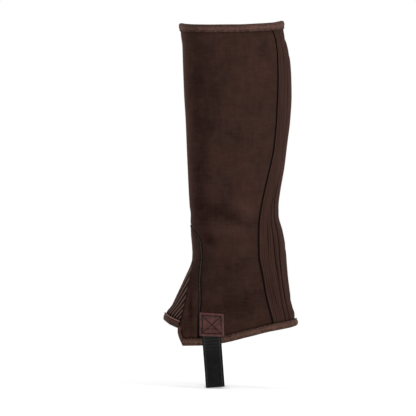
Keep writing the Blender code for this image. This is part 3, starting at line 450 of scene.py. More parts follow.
def cloth(name, patches, thickness, materials):
    """A thin wall over patches of (turn, height, out, across, up, shade) grids, with a rounded rim.

    across and up are each point's place on the cloth's threads. shade makes it darker under 0 and
    paler over 0. The first material is the outer face's and the last one the inner face's.
    """
    turn, height, out, u, v, shade = (
        np.concatenate([np.broadcast_to(patch[k], patch[0].shape).ravel() for patch in patches])
        for k in range(6)
    )
    outer = skin(turn, height, out)
    _, first, same = np.unique(np.round(outer, 6), axis=0, return_index=True, return_inverse=True)
    outer, turn, height, out, u, v, shade = (
        part[first] for part in (outer, turn, height, out, u, v, shade)
    )
    inner = skin(turn, height, out - thickness)
    faces = []
    for quad in same.ravel()[patch_quads(patches)]:
        once = [int(c) for i, c in enumerate(quad) if c != quad[i - 1]]
        if len(set(once)) >= 3:
            faces.append(once)
    edges = set()
    for face in faces:
        edges.update(zip(face, face[1:] + face[:1]))
    rim = [(a, b) for a, b in edges if (b, a) not in edges]
    normal = outward(turn, height)
    bulge = np.zeros_like(outer)
    for a, b in rim:
        side = np.cross(outer[b] - outer[a], normal[a])
        bulge[a] += side
        bulge[b] += side
    ring = sorted({a for a, _ in rim})
    place = {a: 2 * len(outer) + i for i, a in enumerate(ring)}
    middle = (outer[ring] + inner[ring]) / 2 + unit(bulge[ring]) * thickness * RIM_BULGE
    back = len(outer)
    all_faces = [*faces, *[[c + back for c in reversed(face)] for face in faces]]
    slots = np.zeros(len(all_faces) + 2 * len(rim), np.int32)
    slots[len(faces):len(all_faces)] = len(materials) - 1
    for a, b in rim:
        all_faces.append([b, a, place[a], place[b]])
        all_faces.append([place[b], place[a], a + back, b + back])
    mesh = bpy.data.meshes.new(name)
    mesh.from_pydata(np.concatenate([outer, inner, middle]).tolist(), [], all_faces)
    for material in materials:
        mesh.materials.append(material)
    mesh.polygons.foreach_set("material_index", slots)
    u, v, shade = (np.concatenate([part, part, part[ring]]) for part in (u, v, shade))
    lay_threads(mesh, np.stack([u, v], -1))
    layer = mesh.attributes.new("shade", "FLOAT", "POINT")
    layer.data.foreach_set("value", shade.astype(np.float32))
    mesh.shade_smooth()
    return add_object(name, mesh)


def new_material(name):
    """A material with its Principled shader and its node tree."""
    material = bpy.data.materials.new(name)
    material.use_nodes = True
    tree = material.node_tree
    return material, tree.nodes["Principled BSDF"], tree


def feed(tree, made, *inputs):
    """Sets a node's inputs, as pairs of a name and a source: a socket or a plain value."""
    for key, source in inputs:
        if isinstance(source, bpy.types.NodeSocket):
            tree.links.new(source, made.inputs[key])
        else:
            made.inputs[key].default_value = source


def node(tree, kind, *inputs, **settings):
    """A new node of a tree, with its settings and its inputs."""
    made = tree.nodes.new(kind)
    for key, value in settings.items():
        setattr(made, key, value)
    feed(tree, made, *inputs)
    return made


def new_group(name, kind, inputs, outputs):
    """A node group, the sockets that it is given, and the node that its results are put in.

    inputs are rows of a name, a kind of socket and its usual value, and outputs have no value.
    """
    tree = bpy.data.node_groups.new(name, kind)
    for label, socket_type, value in inputs:
        socket = tree.interface.new_socket(name=label, in_out="INPUT", socket_type=socket_type)
        if value is not None:
            socket.default_value = value
    for label, socket_type in outputs:
        tree.interface.new_socket(name=label, in_out="OUTPUT", socket_type=socket_type)
    return tree, node(tree, "NodeGroupInput").outputs, node(tree, "NodeGroupOutput")


def maths(tree, operation, a, b=0.0, clamp=False):
    return node(tree, "ShaderNodeMath", (0, a), (1, b), operation=operation, use_clamp=clamp).outputs[0]


def weighted(tree, *parts):
    """The sum of (value, weight) pairs, kept between 0 and 1."""
    whole = 0.0
    for value, weight in parts:
        whole = node(tree, "ShaderNodeMath", (0, value), (1, weight), (2, whole),
                     operation="MULTIPLY_ADD").outputs[0]
    return maths(tree, "ADD", whole, 0.0, clamp=True)


def spread(tree, value, low=0.3, high=0.7, to_low=0.0, to_high=1.0):
    """A value between low and high stretched over another range, and kept in it."""
    made = node(tree, "ShaderNodeMapRange", ("Value", value), ("From Min", low), ("From Max", high),
                ("To Min", to_low), ("To Max", to_high))
    return made.outputs["Result"]


def blend(tree, share, a, b):
    return node(tree, "ShaderNodeMix", (0, share), (6, a), (7, b), data_type="RGBA").outputs[2]


def coordinate(tree, kind="Object"):
    """Where a point of the surface is: in metres, or along its threads with kind UV."""
    return node(tree, "ShaderNodeTexCoord").outputs[kind]


def scaled(tree, vector, x, y, z):
    return node(tree, "ShaderNodeMapping", ("Vector", vector), ("Scale", (x, y, z))).outputs[0]


def noise(tree, vector, scale, detail=2.0, roughness=0.5, distortion=0.0):
    """A noise texture's value, which is mostly between 0.3 and 0.7."""
    made = node(tree, "ShaderNodeTexNoise", ("Vector", vector), ("Scale", scale), ("Detail", detail),
                ("Roughness", roughness), ("Distortion", distortion))
    return made.outputs["Fac"]


# The shade attribute: the cloth's own tone, in nap patches and the leather patches' rubbed edges, with
# painted shade in dents, creases, seams, stitch dents and under the bindings' lips, and painted light on
# swells and on the calf panel's rolled edge.
def tone_and_painted_shade(tree):
    return node(tree, "ShaderNodeAttribute", attribute_name="shade").outputs["Fac"]


def relief(tree, height, depth, strength=1.0):
    """The normals of fine relief, of a depth in metres."""
    made = node(tree, "ShaderNodeBump", ("Height", height), ("Distance", depth), ("Strength", strength))
    return made.outputs[0]


def finish(tree, shader, base, rough, gloss, normal):
    feed(tree, shader, ("Base Color", base), ("Roughness", rough), ("Specular IOR Level", gloss),
         ("Normal", normal))


def add_sheen(tree, shader, weight, tint):
    """The soft pale sheen of fuzz, seen at a grazing angle."""
    feed(tree, shader, ("Sheen Weight", weight), ("Sheen Roughness", 0.35), ("Sheen Tint", tint))


def colour(red, green, blue):
    """A colour given as it looks on a screen, from 0 to 255, as the shaders want it."""
    linear = [
        c / 255 / 12.92 if c <= 10 else ((c / 255 + 0.055) / 1.055) ** 2.4
        for c in (red, green, blue)
    ]
    return (*linear, 1.0)


def make_nap_group():
    """Brushed nap: slow clouds, patches where the nap lies another way, and fine fibre grain."""
    tree, given, put = new_group("nap", "ShaderNodeTree", [
        ("Vector", "NodeSocketVector", None),
        ("Cloud Size", "NodeSocketFloat", 0.05),
        ("Patch Size", "NodeSocketFloat", 0.012),
        ("Grain Size", "NodeSocketFloat", 0.0006),
    ], [(name, "NodeSocketFloat") for name in ("Clouds", "Patches", "Streaks", "Grain", "Height")])
    vector = given["Vector"]
    per_cloud, per_patch, per_grain = (
        maths(tree, "DIVIDE", 1.0, given[name]) for name in ("Cloud Size", "Patch Size", "Grain Size")
    )
    clouds = noise(tree, vector, per_cloud, 3.0, 0.55, 0.4)
    patches = noise(tree, scaled(tree, vector, 1.0, 1.0, 0.85), per_patch, 4.0, 0.62, 0.6)
    grain = noise(tree, vector, per_grain, 3.0, 0.7)
    upright = noise(tree, scaled(tree, vector, 1.0, 1.0, 0.14), 260.0, 3.0, 0.6)
    level = noise(tree, scaled(tree, vector, 0.16, 0.16, 1.0), 420.0, 2.0, 0.6)
    streaks = maths(tree, "ADD", maths(tree, "MULTIPLY", upright, 0.45), maths(tree, "MULTIPLY", level, 0.55))
    rise = maths(tree, "ADD", maths(tree, "MULTIPLY", patches, 0.35), grain)
    feed(tree, put, ("Clouds", clouds), ("Patches", patches), ("Streaks", streaks), ("Grain", grain),
         ("Height", rise))
    return tree


nap_group = make_nap_group()


def add_nap(tree, cloud_size, patch_size, grain_size):
    """The nap's outputs, at sizes in metres."""
    return node(
        tree, "ShaderNodeGroup", ("Vector", coordinate(tree)), ("Cloud Size", cloud_size),
        ("Patch Size", patch_size), ("Grain Size", grain_size), node_tree=nap_group,
    ).outputs


def make_suede(name, dark, light, sheen, grain=0.0006):
    """Suede: matt, mottled by the way its nap lies, with a soft pale sheen at a grazing angle."""
    material, shader, tree = new_material(name)
    nap = add_nap(tree, 0.034, 0.011, grain)
    share = weighted(
        tree,
        (spread(tree, nap["Clouds"], 0.30, 0.70), 0.24),
        (spread(tree, nap["Patches"], 0.28, 0.72), 0.20),
        (spread(tree, nap["Streaks"], 0.32, 0.68), 0.22),
        (spread(tree, nap["Grain"], 0.25, 0.75), 0.34),
        (tone_and_painted_shade(tree), 1.0),
    )
    ruddy = tuple(c * k for c, k in zip(light, (1.04, 0.93, 0.92, 1.0)))
    light = blend(tree, spread(tree, nap["Clouds"], 0.40, 0.60), light, ruddy)
    rough = spread(tree, nap["Patches"], 0.2, 0.8, 0.86, 0.98)
    finish(tree, shader, blend(tree, share, dark, light), rough, 0.05, relief(tree, nap["Height"], 0.00018))
    add_sheen(tree, shader, sheen, colour(190, 140, 118))
    return material


suede = make_suede("suede_brown", colour(27, 12, 9), colour(69, 50, 43), 0.22)
suede_back = make_suede("suede_back", colour(52, 35, 28), colour(86, 63, 53), 0.2, grain=0.0009)

NAP_AND_SHADE_MARKS = [
    # Where the suede is painted darker (under 0) or paler (over 0): patches where its nap lies
    # another way, painted shade in the folds' dents, painted light on their swells, and painted
    # shade down each side of the shin's front. As the folds' rows, with a share of the way from
    # the dark brown to the pale one last.
    Fold(38, 0.130, 90, 0.130, 0.018, -0.32),
    Fold(34, 0.000, 90, 0.070, 0.016, -0.12),
    Fold(82, -0.118, 0, 0.060, 0.054, -0.21),
    Fold(-82, -0.120, 0, 0.060, 0.050, -0.15),
    Fold(64, -0.003, 8, 0.020, 0.011, -0.30),
    Fold(86, -0.010, -24, 0.012, 0.006, -0.16),
    Fold(52, -0.036, -30, 0.011, 0.009, -0.36),
    Fold(72, -0.024, 4, 0.013, 0.007, 0.14),
    Fold(92, -0.026, 10, 0.014, 0.006, 0.14),
    Fold(106, 0.002, 140, 0.012, 0.008, 0.26),
    Fold(108, 0.150, 90, 0.090, 0.018, 0.06),
    Fold(88, 0.030, 80, 0.030, 0.016, -0.05),
    Fold(84, -0.072, 6, 0.020, 0.009, -0.12),
    Fold(104, -0.088, 70, 0.014, 0.006, 0.10),
    Fold(72, -0.100, 20, 0.012, 0.006, 0.08),
    Fold(100, -0.112, 80, 0.022, 0.010, -0.06),
    Fold(96, -0.050, 80, 0.016, 0.012, 0.06),
    Fold(60, 0.080, 75, 0.020, 0.010, 0.06),
    Fold(72, 0.180, 30, 0.016, 0.010, -0.08),
    Fold(56, 0.105, -10, 0.014, 0.009, -0.08),
    Fold(98, 0.085, 20, 0.018, 0.010, -0.06),
    Fold(-42, 0.100, 90, 0.110, 0.016, -0.24),
    Fold(-70, -0.010, 160, 0.018, 0.010, -0.20),
    Fold(-95, -0.035, 20, 0.015, 0.009, 0.14),
    Fold(-60, -0.060, 60, 0.016, 0.009, -0.16),
    Fold(-92, 0.060, 85, 0.030, 0.016, -0.07),
    Fold(-100, 0.150, 90, 0.070, 0.018, 0.07),
    Fold(-86, -0.110, 80, 0.022, 0.010, -0.10),
    # painted shade in the hollow between each leg of the instep panel's piping and the gusset, and
    # painted light on the swell beside the near one
    Fold(47, -0.122, 108, 0.026, 0.0022, -0.32),
    Fold(51, -0.108, 104, 0.020, 0.0026, 0.10),
    Fold(-46, -0.120, 72, 0.024, 0.0022, -0.22),
]


def seam_roll(distance):
    """How far out a panel lies at a distance from its piped seam, which draws it in."""
    return -SEAM_ROLL * hill(distance - SEAM_TUCK, SEAM_ROLL_WIDTH)


def pucker(distance, lengths):
    """Small ripples that the thread's pull leaves beside a seam."""
    return PUCKER_DEPTH * ripples(PUCKER, lengths) * hill(distance, PUCKER_REACH)


def seam_shadow(distance, strength, reach=0.0012):
    """The dark line in the valley beside a seam or under a lip."""
    return -strength * hill(distance, reach)


def lip_shadow(turn, height):
    """The same under the lips of the top edge's and the hem's bindings."""
    above_hem = height - hem_height(turn) - LIP_SHADOW * HEM_BINDING_WIDTH
    under_top = top_height(turn) - LIP_SHADOW * TOP_BINDING_WIDTH - height
    return seam_shadow(above_hem, 0.45) + seam_shadow(under_top, 0.25)


def settled(edge, turn_at, height):
    """The heights at which lines cross an edge, from a first guess."""
    for _ in range(SETTLE_ROUNDS):
        height = edge(turn_at(height))
    return height


def panel_half(slit, outer_turn):
    """Half of the main panel, as grids of turns and heights from the shin's line outwards."""
    t = np.linspace(0, 1, PANEL_COLUMNS + 1)
    share = mix(t, 0.5 - 0.5 * np.cos(np.pi * t), PANEL_EASE)
    (low_start, bottom), (_, arch) = slit[0], slit[-1]
    foot = settled(
        hem_height, lambda at: mix(low_start, outer_turn(at), share), hem_height(low_start) + 0 * share,
    )
    head = settled(top_height, lambda at: mix(0.0, outer_turn(at), share), top_height(0.0) + 0 * share)
    fall = ((arch - slit[:, 1]) / (arch - bottom))[:, None]
    low = mix(arch, foot[None], fall)
    low_turn = mix(slit[:, :1], outer_turn(low), share[None])
    rise = np.linspace(0, 1, PANEL_ROWS + 1)[1:, None]
    high = mix(arch, head[None], rise)
    high_turn = mix(0.0, outer_turn(high), share[None])
    return np.concatenate([low_turn, high_turn]), np.concatenate([low, high])


def main_patch(side):
    """The main panel's half on the near side (1), to the rear seam, or on the far side, to the zip."""
    slit = beside(front_seam, -SEAM_TUCK)[:ARCH_STEPS + 1]
    slit[-1, 0] = 0.0
    slit[0, 1] = hem_height(slit[0, 0])
    if side > 0:
        turn, height = panel_half(slit, main_rear_turn)
    else:
        turn, height = panel_half(mirrored(slit), main_zip_turn)
    points = bare_skin(turn, height)
    to_front = nearest(points, front_seam)
    out = seam_roll(to_front)
    out += pucker(to_front, height)
    if side > 0:
        to_rear = nearest(points, rear_seam)
        out += seam_roll(to_rear)
    else:
        # the panel's edge is turned in by the zip: full, with its row of stitches sunk in
        to_rear = nearest(points, zip_line)
        out -= 0.0004 * hill(to_rear - (ZIP_CHANNEL + ZIP_STITCH_LINE), 0.0009)
        out += 0.0003 * hill(to_rear - ZIP_CHANNEL - 0.0016, 0.0020)
    out += pucker(to_rear, height)
    steps = np.linalg.norm(np.diff(points, axis=1), axis=-1)
    across = side * np.concatenate([np.zeros((len(turn), 1)), np.cumsum(steps, 1)], 1)
    shade = soft_marks(NAP_AND_SHADE_MARKS, turn, height) + lip_shadow(turn, height)
    shade += seam_shadow(to_front - SEAM_TUCK, 0.85, 0.0014) + seam_shadow(to_rear - SEAM_TUCK, 0.12)
    grids = [turn, height, out, across, height, shade]
    return grids if side > 0 else [grid[:, ::-1] for grid in grids]


main_panel = cloth("main_panel_suede", [main_patch(-1), main_patch(1)], SUEDE, [suede, suede_back])
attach(main_panel, "chap")
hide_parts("main_panel")

# ---------------------------------------------------------------------------
# Instep panel
# A second piece of the same suede: a saddle over the shin's foot, with a leg down each side of
# the gusset. It is sewn to the main panel through the front piping.
# ---------------------------------------------------------------------------

GUSSET_SEAM = [
    Place(42.0, -0.1480),
    Place(40.4, -0.1373),
    Place(38.8, -0.1273),
    Place(34.5, -0.1095),
    Place(29.5, -0.0960),
    Place(23.0, -0.0810),
    Place(13.0, -0.0665),
    Place(0.0, -0.0595),
]
INSTEP_CORNER = Place(54.0, -0.1683)
INSTEP_COLUMNS = 30
GAP = 0.0003               # between pieces that touch
EDGE_WIDTH = 0.0036        # of the narrow binding on its free edges


def ease(share):
    """A share from 0 to 1 that starts and stops softly."""
    share = np.clip(share, 0, 1)
    return share * share * (3 - 2 * share)


near_gusset_seam = trace([INSTEP_CORNER, *GUSSET_SEAM], ARCH_STEPS)
gusset_seam = np.concatenate([near_gusset_seam, mirrored(near_gusset_seam[-2::-1])])
instep_outer = beside(front_seam, SEAM_TUCK)
instep_inner = beside(gusset_seam, -GAP / 2)
share = np.sin(np.linspace(0, 90, INSTEP_COLUMNS + 1) * math.pi / 180)[None]
instep_turn = mix(instep_inner[:, :1], instep_outer[:, :1], share)
instep_height = mix(instep_inner[:, 1:], instep_outer[:, 1:], share)
points = bare_skin(instep_turn, instep_height)
to_seam = nearest(points, front_seam)
to_gusset = nearest(points, gusset_seam)
instep_out = seam_roll(to_seam)
instep_out += pucker(to_seam, instep_height)
instep_out += 0.0003 * hill(to_gusset - 0.0014, 0.0016)
instep_shade = soft_marks(NAP_AND_SHADE_MARKS, instep_turn, instep_height) + lip_shadow(instep_turn, instep_height)
instep_shade += seam_shadow(to_seam - SEAM_TUCK, 0.35)
# Beside the gusset the shadow lies along the seam, and under it along the narrow binding's lip.
under_gusset = ease((GUSSET_SEAM[0].height - instep_height) / 0.003)
by_seam, by_lip = seam_shadow(to_gusset, 0.85, 0.0016), seam_shadow(to_gusset - 1.2 * EDGE_WIDTH, 0.60)
instep_shade += mix(by_seam, by_lip, under_gusset)
instep_panel = cloth(
    "instep_panel_suede",
    [[instep_turn, instep_height, instep_out, to_gusset, instep_height, instep_shade]],
    SUEDE, [suede, suede_back],
)
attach(instep_panel, "chap")
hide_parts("instep_panel")

# ---------------------------------------------------------------------------
# Calf panel
# Ribbed elastic over the whole height of the calf, woven with its ribs upright. Near the hem it
# keeps two deeper creases on each side, where it gives way over the heel.
# ---------------------------------------------------------------------------

CALF_RIBS = 36
CALF_RIB_DEPTH = 0.00035
ELASTIC = 0.0016
Crease = namedtuple("Crease", "rib low high depth")
CALF_CREASES = [
    # Ribs are counted from the near seam. Each crease fades out at its low and high end.
    Crease(7.0, -0.150, 0.050, 0.0012),
    Crease(9.8, -0.150, 0.060, 0.0014),
    Crease(13.2, -0.140, -0.040, 0.0006),
    Crease(3.6, -0.130, 0.010, 0.0005),
    Crease(5.2, 0.080, 0.220, 0.0004),
    Crease(9.0, 0.060, 0.215, 0.0005),
    Crease(29.0, -0.150, 0.050, 0.0012),
    Crease(26.0, -0.150, 0.060, 0.0014),
    Crease(22.6, -0.140, -0.040, 0.0006),
    Crease(32.6, -0.120, 0.010, 0.0005),
    Crease(27.0, 0.060, 0.210, 0.0005),
]
CREASE_SHADE = 460         # painted shade in a crease, for each metre of its depth
CREASE_WIDTH = 0.40        # in ribs
CREASE_WANDER = 0.25       # in ribs, to each side
WANDER_WAVES = 60          # radians for each metre up
FADE_IN, FADE_OUT = 0.02, 0.04  # over which a crease deepens upwards and dies out again
CALF_RIB_STEPS = 7         # columns of the grid for each rib
CALF_ROWS = 150
RIB_END = 0.006            # over which the ribs fade at the top and the hem


def part_of(tree, vector, axis):
    return node(tree, "ShaderNodeSeparateXYZ", ("Vector", vector)).outputs[axis]


def wave(tree, value, pitch, operation="SINE"):
    """A wave from -1 to 1 that comes round once in each pitch."""
    return maths(tree, operation, maths(tree, "MULTIPLY", value, 2 * math.pi / pitch))


def make_ribbed(name, dark, light, valley, crest, contrast):
    """Ribbed elastic, one rib for each unit of its UV map: painted dark between its ribs, as the
    shade in their grooves, with fine cross threads over them. valley and crest are where in a
    rib's wave it is darkest and palest."""
    material, shader, tree = new_material(name)
    threads, place = coordinate(tree, "UV"), coordinate(tree)
    # painted shade in the grooves between the ribs, paler on their crests
    ridge = spread(tree, wave(tree, part_of(tree, threads, "X"), 1.0, "COSINE"), valley, crest)
    cross = wave(tree, part_of(tree, threads, "Y"), 0.0008)
    streaks = noise(tree, scaled(tree, place, 1.0, 1.0, 0.25), 260.0, 4.0, 0.65)
    bands = noise(tree, scaled(tree, threads, 0.50, 16.0, 1.0), 1.0)
    clouds = noise(tree, place, 30.0)
    fibre = noise(tree, place, 1900.0, 2.0, 0.7)
    rest = 1.0 - contrast
    share = weighted(
        tree, (ridge, contrast), (spread(tree, streaks), 0.20 * rest), (spread(tree, bands), 0.55 * rest),
        (spread(tree, clouds), 0.15 * rest), (spread(tree, fibre), 0.10 * rest), (tone_and_painted_shade(tree), 1.0),
    )
    rise = maths(tree, "ADD", maths(tree, "MULTIPLY", cross, 0.25), maths(tree, "MULTIPLY", fibre, 1.2))
    finish(tree, shader, blend(tree, share, dark, light), 0.88, 0.08, relief(tree, rise, 0.00012))
    add_sheen(tree, shader, 0.36, colour(190, 144, 122))
    return material


calf_elastic = make_ribbed("calf_elastic", colour(26, 14, 11), colour(68, 45, 39), -1.0, 0.4, 0.32)
calf_near_turn = edge_turn(beside(rear_seam, -SEAM_TUCK))
calf_zip_turn = edge_turn(beside(zip_line, ZIP_CHANNEL))
calf_share = np.linspace(0, 1, CALF_RIBS * CALF_RIB_STEPS + 1)


def calf_turn(height):
    """The turns of the calf panel's ribs, from the near seam round behind to the zip."""
    return mix(calf_near_turn(height), calf_zip_turn(height) + 2 * np.pi, calf_share)


foot = settled(hem_height, calf_turn, hem_height(np.pi) + 0 * calf_share)
head = settled(top_height, calf_turn, top_height(np.pi) + 0 * calf_share)
calf_height = mix(foot[None], head[None], np.linspace(0, 1, CALF_ROWS)[:, None])
calf_turns = calf_turn(calf_height)
rib_count = calf_share[None] * CALF_RIBS
ribs = np.abs(np.cos(np.pi * rib_count))
ends = ease((calf_height - foot[None]) / RIB_END) * ease((head[None] - calf_height) / RIB_END)
calf_out = -CALF_RIB_DEPTH * ribs ** 3 * ends
calf_shade = 0 * calf_out
for crease in CALF_CREASES:
    reach = ease((calf_height - crease.low) / FADE_IN) * ease((crease.high - calf_height) / FADE_OUT)
    wander = CREASE_WANDER * np.sin(calf_height * WANDER_WAVES + crease.rib)
    sunk = crease.depth * reach * hill(rib_count - crease.rib - wander, CREASE_WIDTH)
    calf_out = calf_out - sunk
    # each crease is painted darker, as the shade in it
    calf_shade = calf_shade - CREASE_SHADE * sunk
points = bare_skin(calf_turns, calf_height)
to_near, to_zip = nearest(points, rear_seam), nearest(points, zip_line)
calf_out = calf_out + seam_roll(to_near) + pucker(to_near, calf_height) + pucker(to_zip, calf_height)
calf_shade = calf_shade + seam_shadow(to_near - SEAM_TUCK, 0.10, 0.0008)
# a painted highlight along the calf panel's rolled edge, 1.9 mm from the seam
calf_shade = calf_shade - seam_shadow(to_near - 0.0019, 0.40, 0.0008)
calf_shade = calf_shade + lip_shadow(calf_turns, calf_height)
calf_panel = cloth(
    "calf_panel_elastic",
    [[calf_turns, calf_height, calf_out, rib_count - 0.5, calf_height, calf_shade]],
    ELASTIC, [calf_elastic],
)
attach(calf_panel, "chap")
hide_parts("calf_panel")

# ---------------------------------------------------------------------------
# Instep gusset
# A wedge of coarser ribbed elastic between the instep panel's legs. Its ribs stand up from the
# gusset's lower edge and fan out a little, so that from the side they lie slantwise.
# ---------------------------------------------------------------------------

GUSSET_HEM = [
    Place(0, -0.1380),
    Place(8, -0.1383),
    Place(30, -0.1431),
    Place(41, -0.1464),
    Place(46, -0.1485),
]
GUSSET_RIBS = 10           # over each half
GUSSET_RIB_STEPS = 8       # columns of the grid for each rib
GUSSET_ROWS = 44
GUSSET_RIB_DEPTH = 0.0009
GUSSET_VALLEY = 1.1        # over 1 the valleys between its ribs are narrower than the ribs
GUSSET_SPREAD = 1.35       # at the apex's height its ribs lie this share further apart
GIRTH_STEPS = 16
GIRTH_ROUNDS = 7
HALVINGS = 24

gusset_hem_height = edge_height(GUSSET_HEM)
gusset_side = beside(near_gusset_seam, GAP / 2)
gusset_apex = gusset_side[-1, 1] - GAP
gusset_edge_turn = curve(
    np.append(gusset_side[:-1, 1], gusset_apex), np.append(gusset_side[:-1, 0], 0.0),
)


def girth_to(turn, height):
    """The distance over the skin from the shin's line to turns, at their heights."""
    middles = turn[..., None] * ((np.arange(GIRTH_STEPS) + 0.5) / GIRTH_STEPS)
    across, _ = slopes_at(middles, np.broadcast_to(height[..., None], middles.shape))
    return np.linalg.norm(across, axis=-1).mean(-1) * turn


def turn_from_girth(distance, height):
    """The turns that lie at distances over the skin from the shin's line."""
    turn = distance / SKIN_SPAN
    for _ in range(GIRTH_ROUNDS):
        slope = np.linalg.norm(slopes_at(turn, height)[0], axis=-1)
        turn = turn + (distance - girth_to(turn, height)) / slope
    return turn


gusset_foot = settled(gusset_hem_height, gusset_edge_turn, np.array(GUSSET_SEAM[0].height))
gusset_half_width = girth_to(gusset_edge_turn(gusset_foot), gusset_foot)
rib_share = np.linspace(0, 1, GUSSET_RIBS * GUSSET_RIB_STEPS + 1)[:-1]


def rib_turn(height):
    """The turns of the gusset's ribs, which fan out upwards."""
    spread_out = 1 + GUSSET_SPREAD * (height - gusset_foot) / (gusset_apex - gusset_foot)
    return turn_from_girth(rib_share * gusset_half_width * spread_out, height)


# Each rib runs from the gusset's lower edge up to its seam, which is found by halving.
low, high = gusset_foot + 0 * rib_share, gusset_apex + 0 * rib_share
for _ in range(HALVINGS):
    middle = (low + high) / 2
    inside = rib_turn(middle) < gusset_edge_turn(middle)
    low, high = np.where(inside, middle, low), np.where(inside, high, middle)
rib_head = (low + high) / 2
rib_foot = settled(gusset_hem_height, rib_turn, gusset_foot + 0 * rib_share)
gusset_height = mix(rib_foot[None], rib_head[None], np.linspace(0, 1, GUSSET_ROWS)[:, None])
gusset_turn = np.stack([rib_turn(row) for row in gusset_height])
corner = np.ones((GUSSET_ROWS, 1))
gusset_height = np.concatenate([gusset_height, gusset_foot * corner], 1)
gusset_turn = np.concatenate([gusset_turn, gusset_edge_turn(gusset_foot) * corner], 1)
share = np.append(rib_share, 1.0)[None] * GUSSET_RIBS
gusset_ribs = (0.5 + 0.5 * np.cos(2 * np.pi * share)) ** GUSSET_VALLEY
gusset_out = -GUSSET_RIB_DEPTH * gusset_ribs + 0 * gusset_turn
over_hem = gusset_height - gusset_hem_height(gusset_turn)
gusset_shade = seam_shadow(over_hem - 1.1 * HEM_BINDING_WIDTH, 0.5, 0.0010)


def both_halves(grid, sign=1):
    return np.concatenate([sign * grid[:, :0:-1], grid], 1)


gusset_elastic = make_ribbed("gusset_elastic", colour(11, 4, 3), colour(96, 72, 63), 0.2, 0.95, 0.84)
gusset_grids = [
    both_halves(gusset_turn, -1), both_halves(gusset_height), both_halves(gusset_out),
    both_halves(share - 0.5 + 0 * gusset_turn, -1), both_halves(gusset_height), both_halves(gusset_shade),
]
instep_gusset = cloth("instep_gusset_elastic", [gusset_grids], ELASTIC, [gusset_elastic])
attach(instep_gusset, "chap")
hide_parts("instep_gusset")

# ---------------------------------------------------------------------------
# Piping
# Black cord piping, a satin tube over a cord, sewn into the near rear seam and round the arch
# between the main panel and the instep panel, where it is painted greyer upwards as its highlight.
# ---------------------------------------------------------------------------

PIPING_RADIUS = 0.0009
PIPING_DEPTH = 0.0002      # from the skin in to the middle of the cord
PIPING_BLACK = colour(7, 5, 4)
REAR_TUCK, FRONT_TUCK = 0.6, 0.55  # where the pipings end under the bindings, in their widths
CORD_SIDES = 14
PATH_STEP = 0.0015
LOW_POINT, HIGH_POINT = 6, -4  # points of the rear seam and the zip's line by the hem and the top


def dressed(tree, put, geometry, material):
    """Smooths what a tree made, gives it its material and puts it out."""
    smooth = node(tree, "GeometryNodeSetShadeSmooth", ("Geometry", geometry)).outputs[0]
    done = node(tree, "GeometryNodeSetMaterial", ("Geometry", smooth), ("Material", material))
    feed(tree, put, ("Geometry", done.outputs[0]))


def make_cord_tree():
    """Geometry nodes: a round cord along a path."""
    tree, given, put = new_group("cord_along_path", "GeometryNodeTree", [
        ("Geometry", "NodeSocketGeometry", None),
        ("Radius", "NodeSocketFloat", 0.001),
        ("Material", "NodeSocketMaterial", None),
    ], [("Geometry", "NodeSocketGeometry")])
    path = node(tree, "GeometryNodeMeshToCurve", ("Mesh", given["Geometry"]))
    ring = node(tree, "GeometryNodeCurvePrimitiveCircle", ("Resolution", CORD_SIDES),
                ("Radius", given["Radius"]))
    tube = node(tree, "GeometryNodeCurveToMesh", ("Curve", path.outputs[0]),
                ("Profile Curve", ring.outputs[0]), ("Fill Caps", True))
    dressed(tree, put, tube.outputs[0], given["Material"])
    return tree


def along_paths(name, tree, lines, **inputs):
    """Runs a tree over lines of (points, normals) and keeps what it makes as a plain mesh."""
    points = np.concatenate([line[0] for line in lines])
    normals = np.concatenate([line[1] for line in lines])
    edges, start = [], 0
    for line, _ in lines:
        edges += [(start + i, start + i + 1) for i in range(len(line) - 1)]
        start += len(line)
    mesh = bpy.data.meshes.new(name)
    mesh.from_pydata(points.tolist(), edges, [])
    layer = mesh.attributes.new("out", "FLOAT_VECTOR", "POINT")
    layer.data.foreach_set("vector", normals.astype(np.float32).ravel())
    carrier = add_object(name + "_path", mesh)
    change = carrier.modifiers.new("make", "NODES")
    change.node_group = tree
    for item in tree.interface.items_tree:
        if item.item_type == "SOCKET" and item.in_out == "INPUT" and item.name in inputs:
            change[item.identifier] = inputs[item.name]
    ready = carrier.evaluated_get(bpy.context.evaluated_depsgraph_get())
    made = bpy.data.meshes.new_from_object(ready)
    bpy.data.objects.remove(carrier, do_unlink=True)
    made.name = name
    return add_object(name, made)


def on_skin(path, out):
    """A path's points and normals over the skin."""
    return skin(path[:, 0], path[:, 1], out), outward(path[:, 0], path[:, 1])


def make_thread_material(name, base, rough, gloss, rubbed=None):
    """Plain twisted yarn or satin, its colour a little uneven along its length.

    rubbed is a greyer colour painted on upwards between two heights, as a highlight.
    """
    material, shader, tree = new_material(name)
    place = coordinate(tree)
    patches = noise(tree, place, 900.0, 3.0)
    pale = tuple(min(1.0, c * 2.2) for c in base[:3]) + (1.0,)
    share = spread(tree, patches, 0.35, 0.8)
    surface = blend(tree, share, base, pale)
    # a greyer colour painted on upwards, as a highlight
    if rubbed:
        grey, low, high = rubbed
        up = spread(tree, part_of(tree, place, "Z"), low, high)
        surface = blend(tree, up, surface, blend(tree, share, grey, pale))
    uneven = spread(tree, patches, 0.2, 0.8, rough - 0.08, rough + 0.08)
    finish(tree, shader, surface, uneven, gloss, relief(tree, patches, 0.0001))
    return material


def between(path, low, high):
    """The part of a climbing path between two heights."""
    heights = np.linspace(low, high, max(8, int((high - low) / PATH_STEP)))
    return np.stack([edge_turn(path)(heights), heights], -1)


cord_tree = make_cord_tree()
piping_black = make_thread_material("piping_black", PIPING_BLACK, 0.50, 0.04)
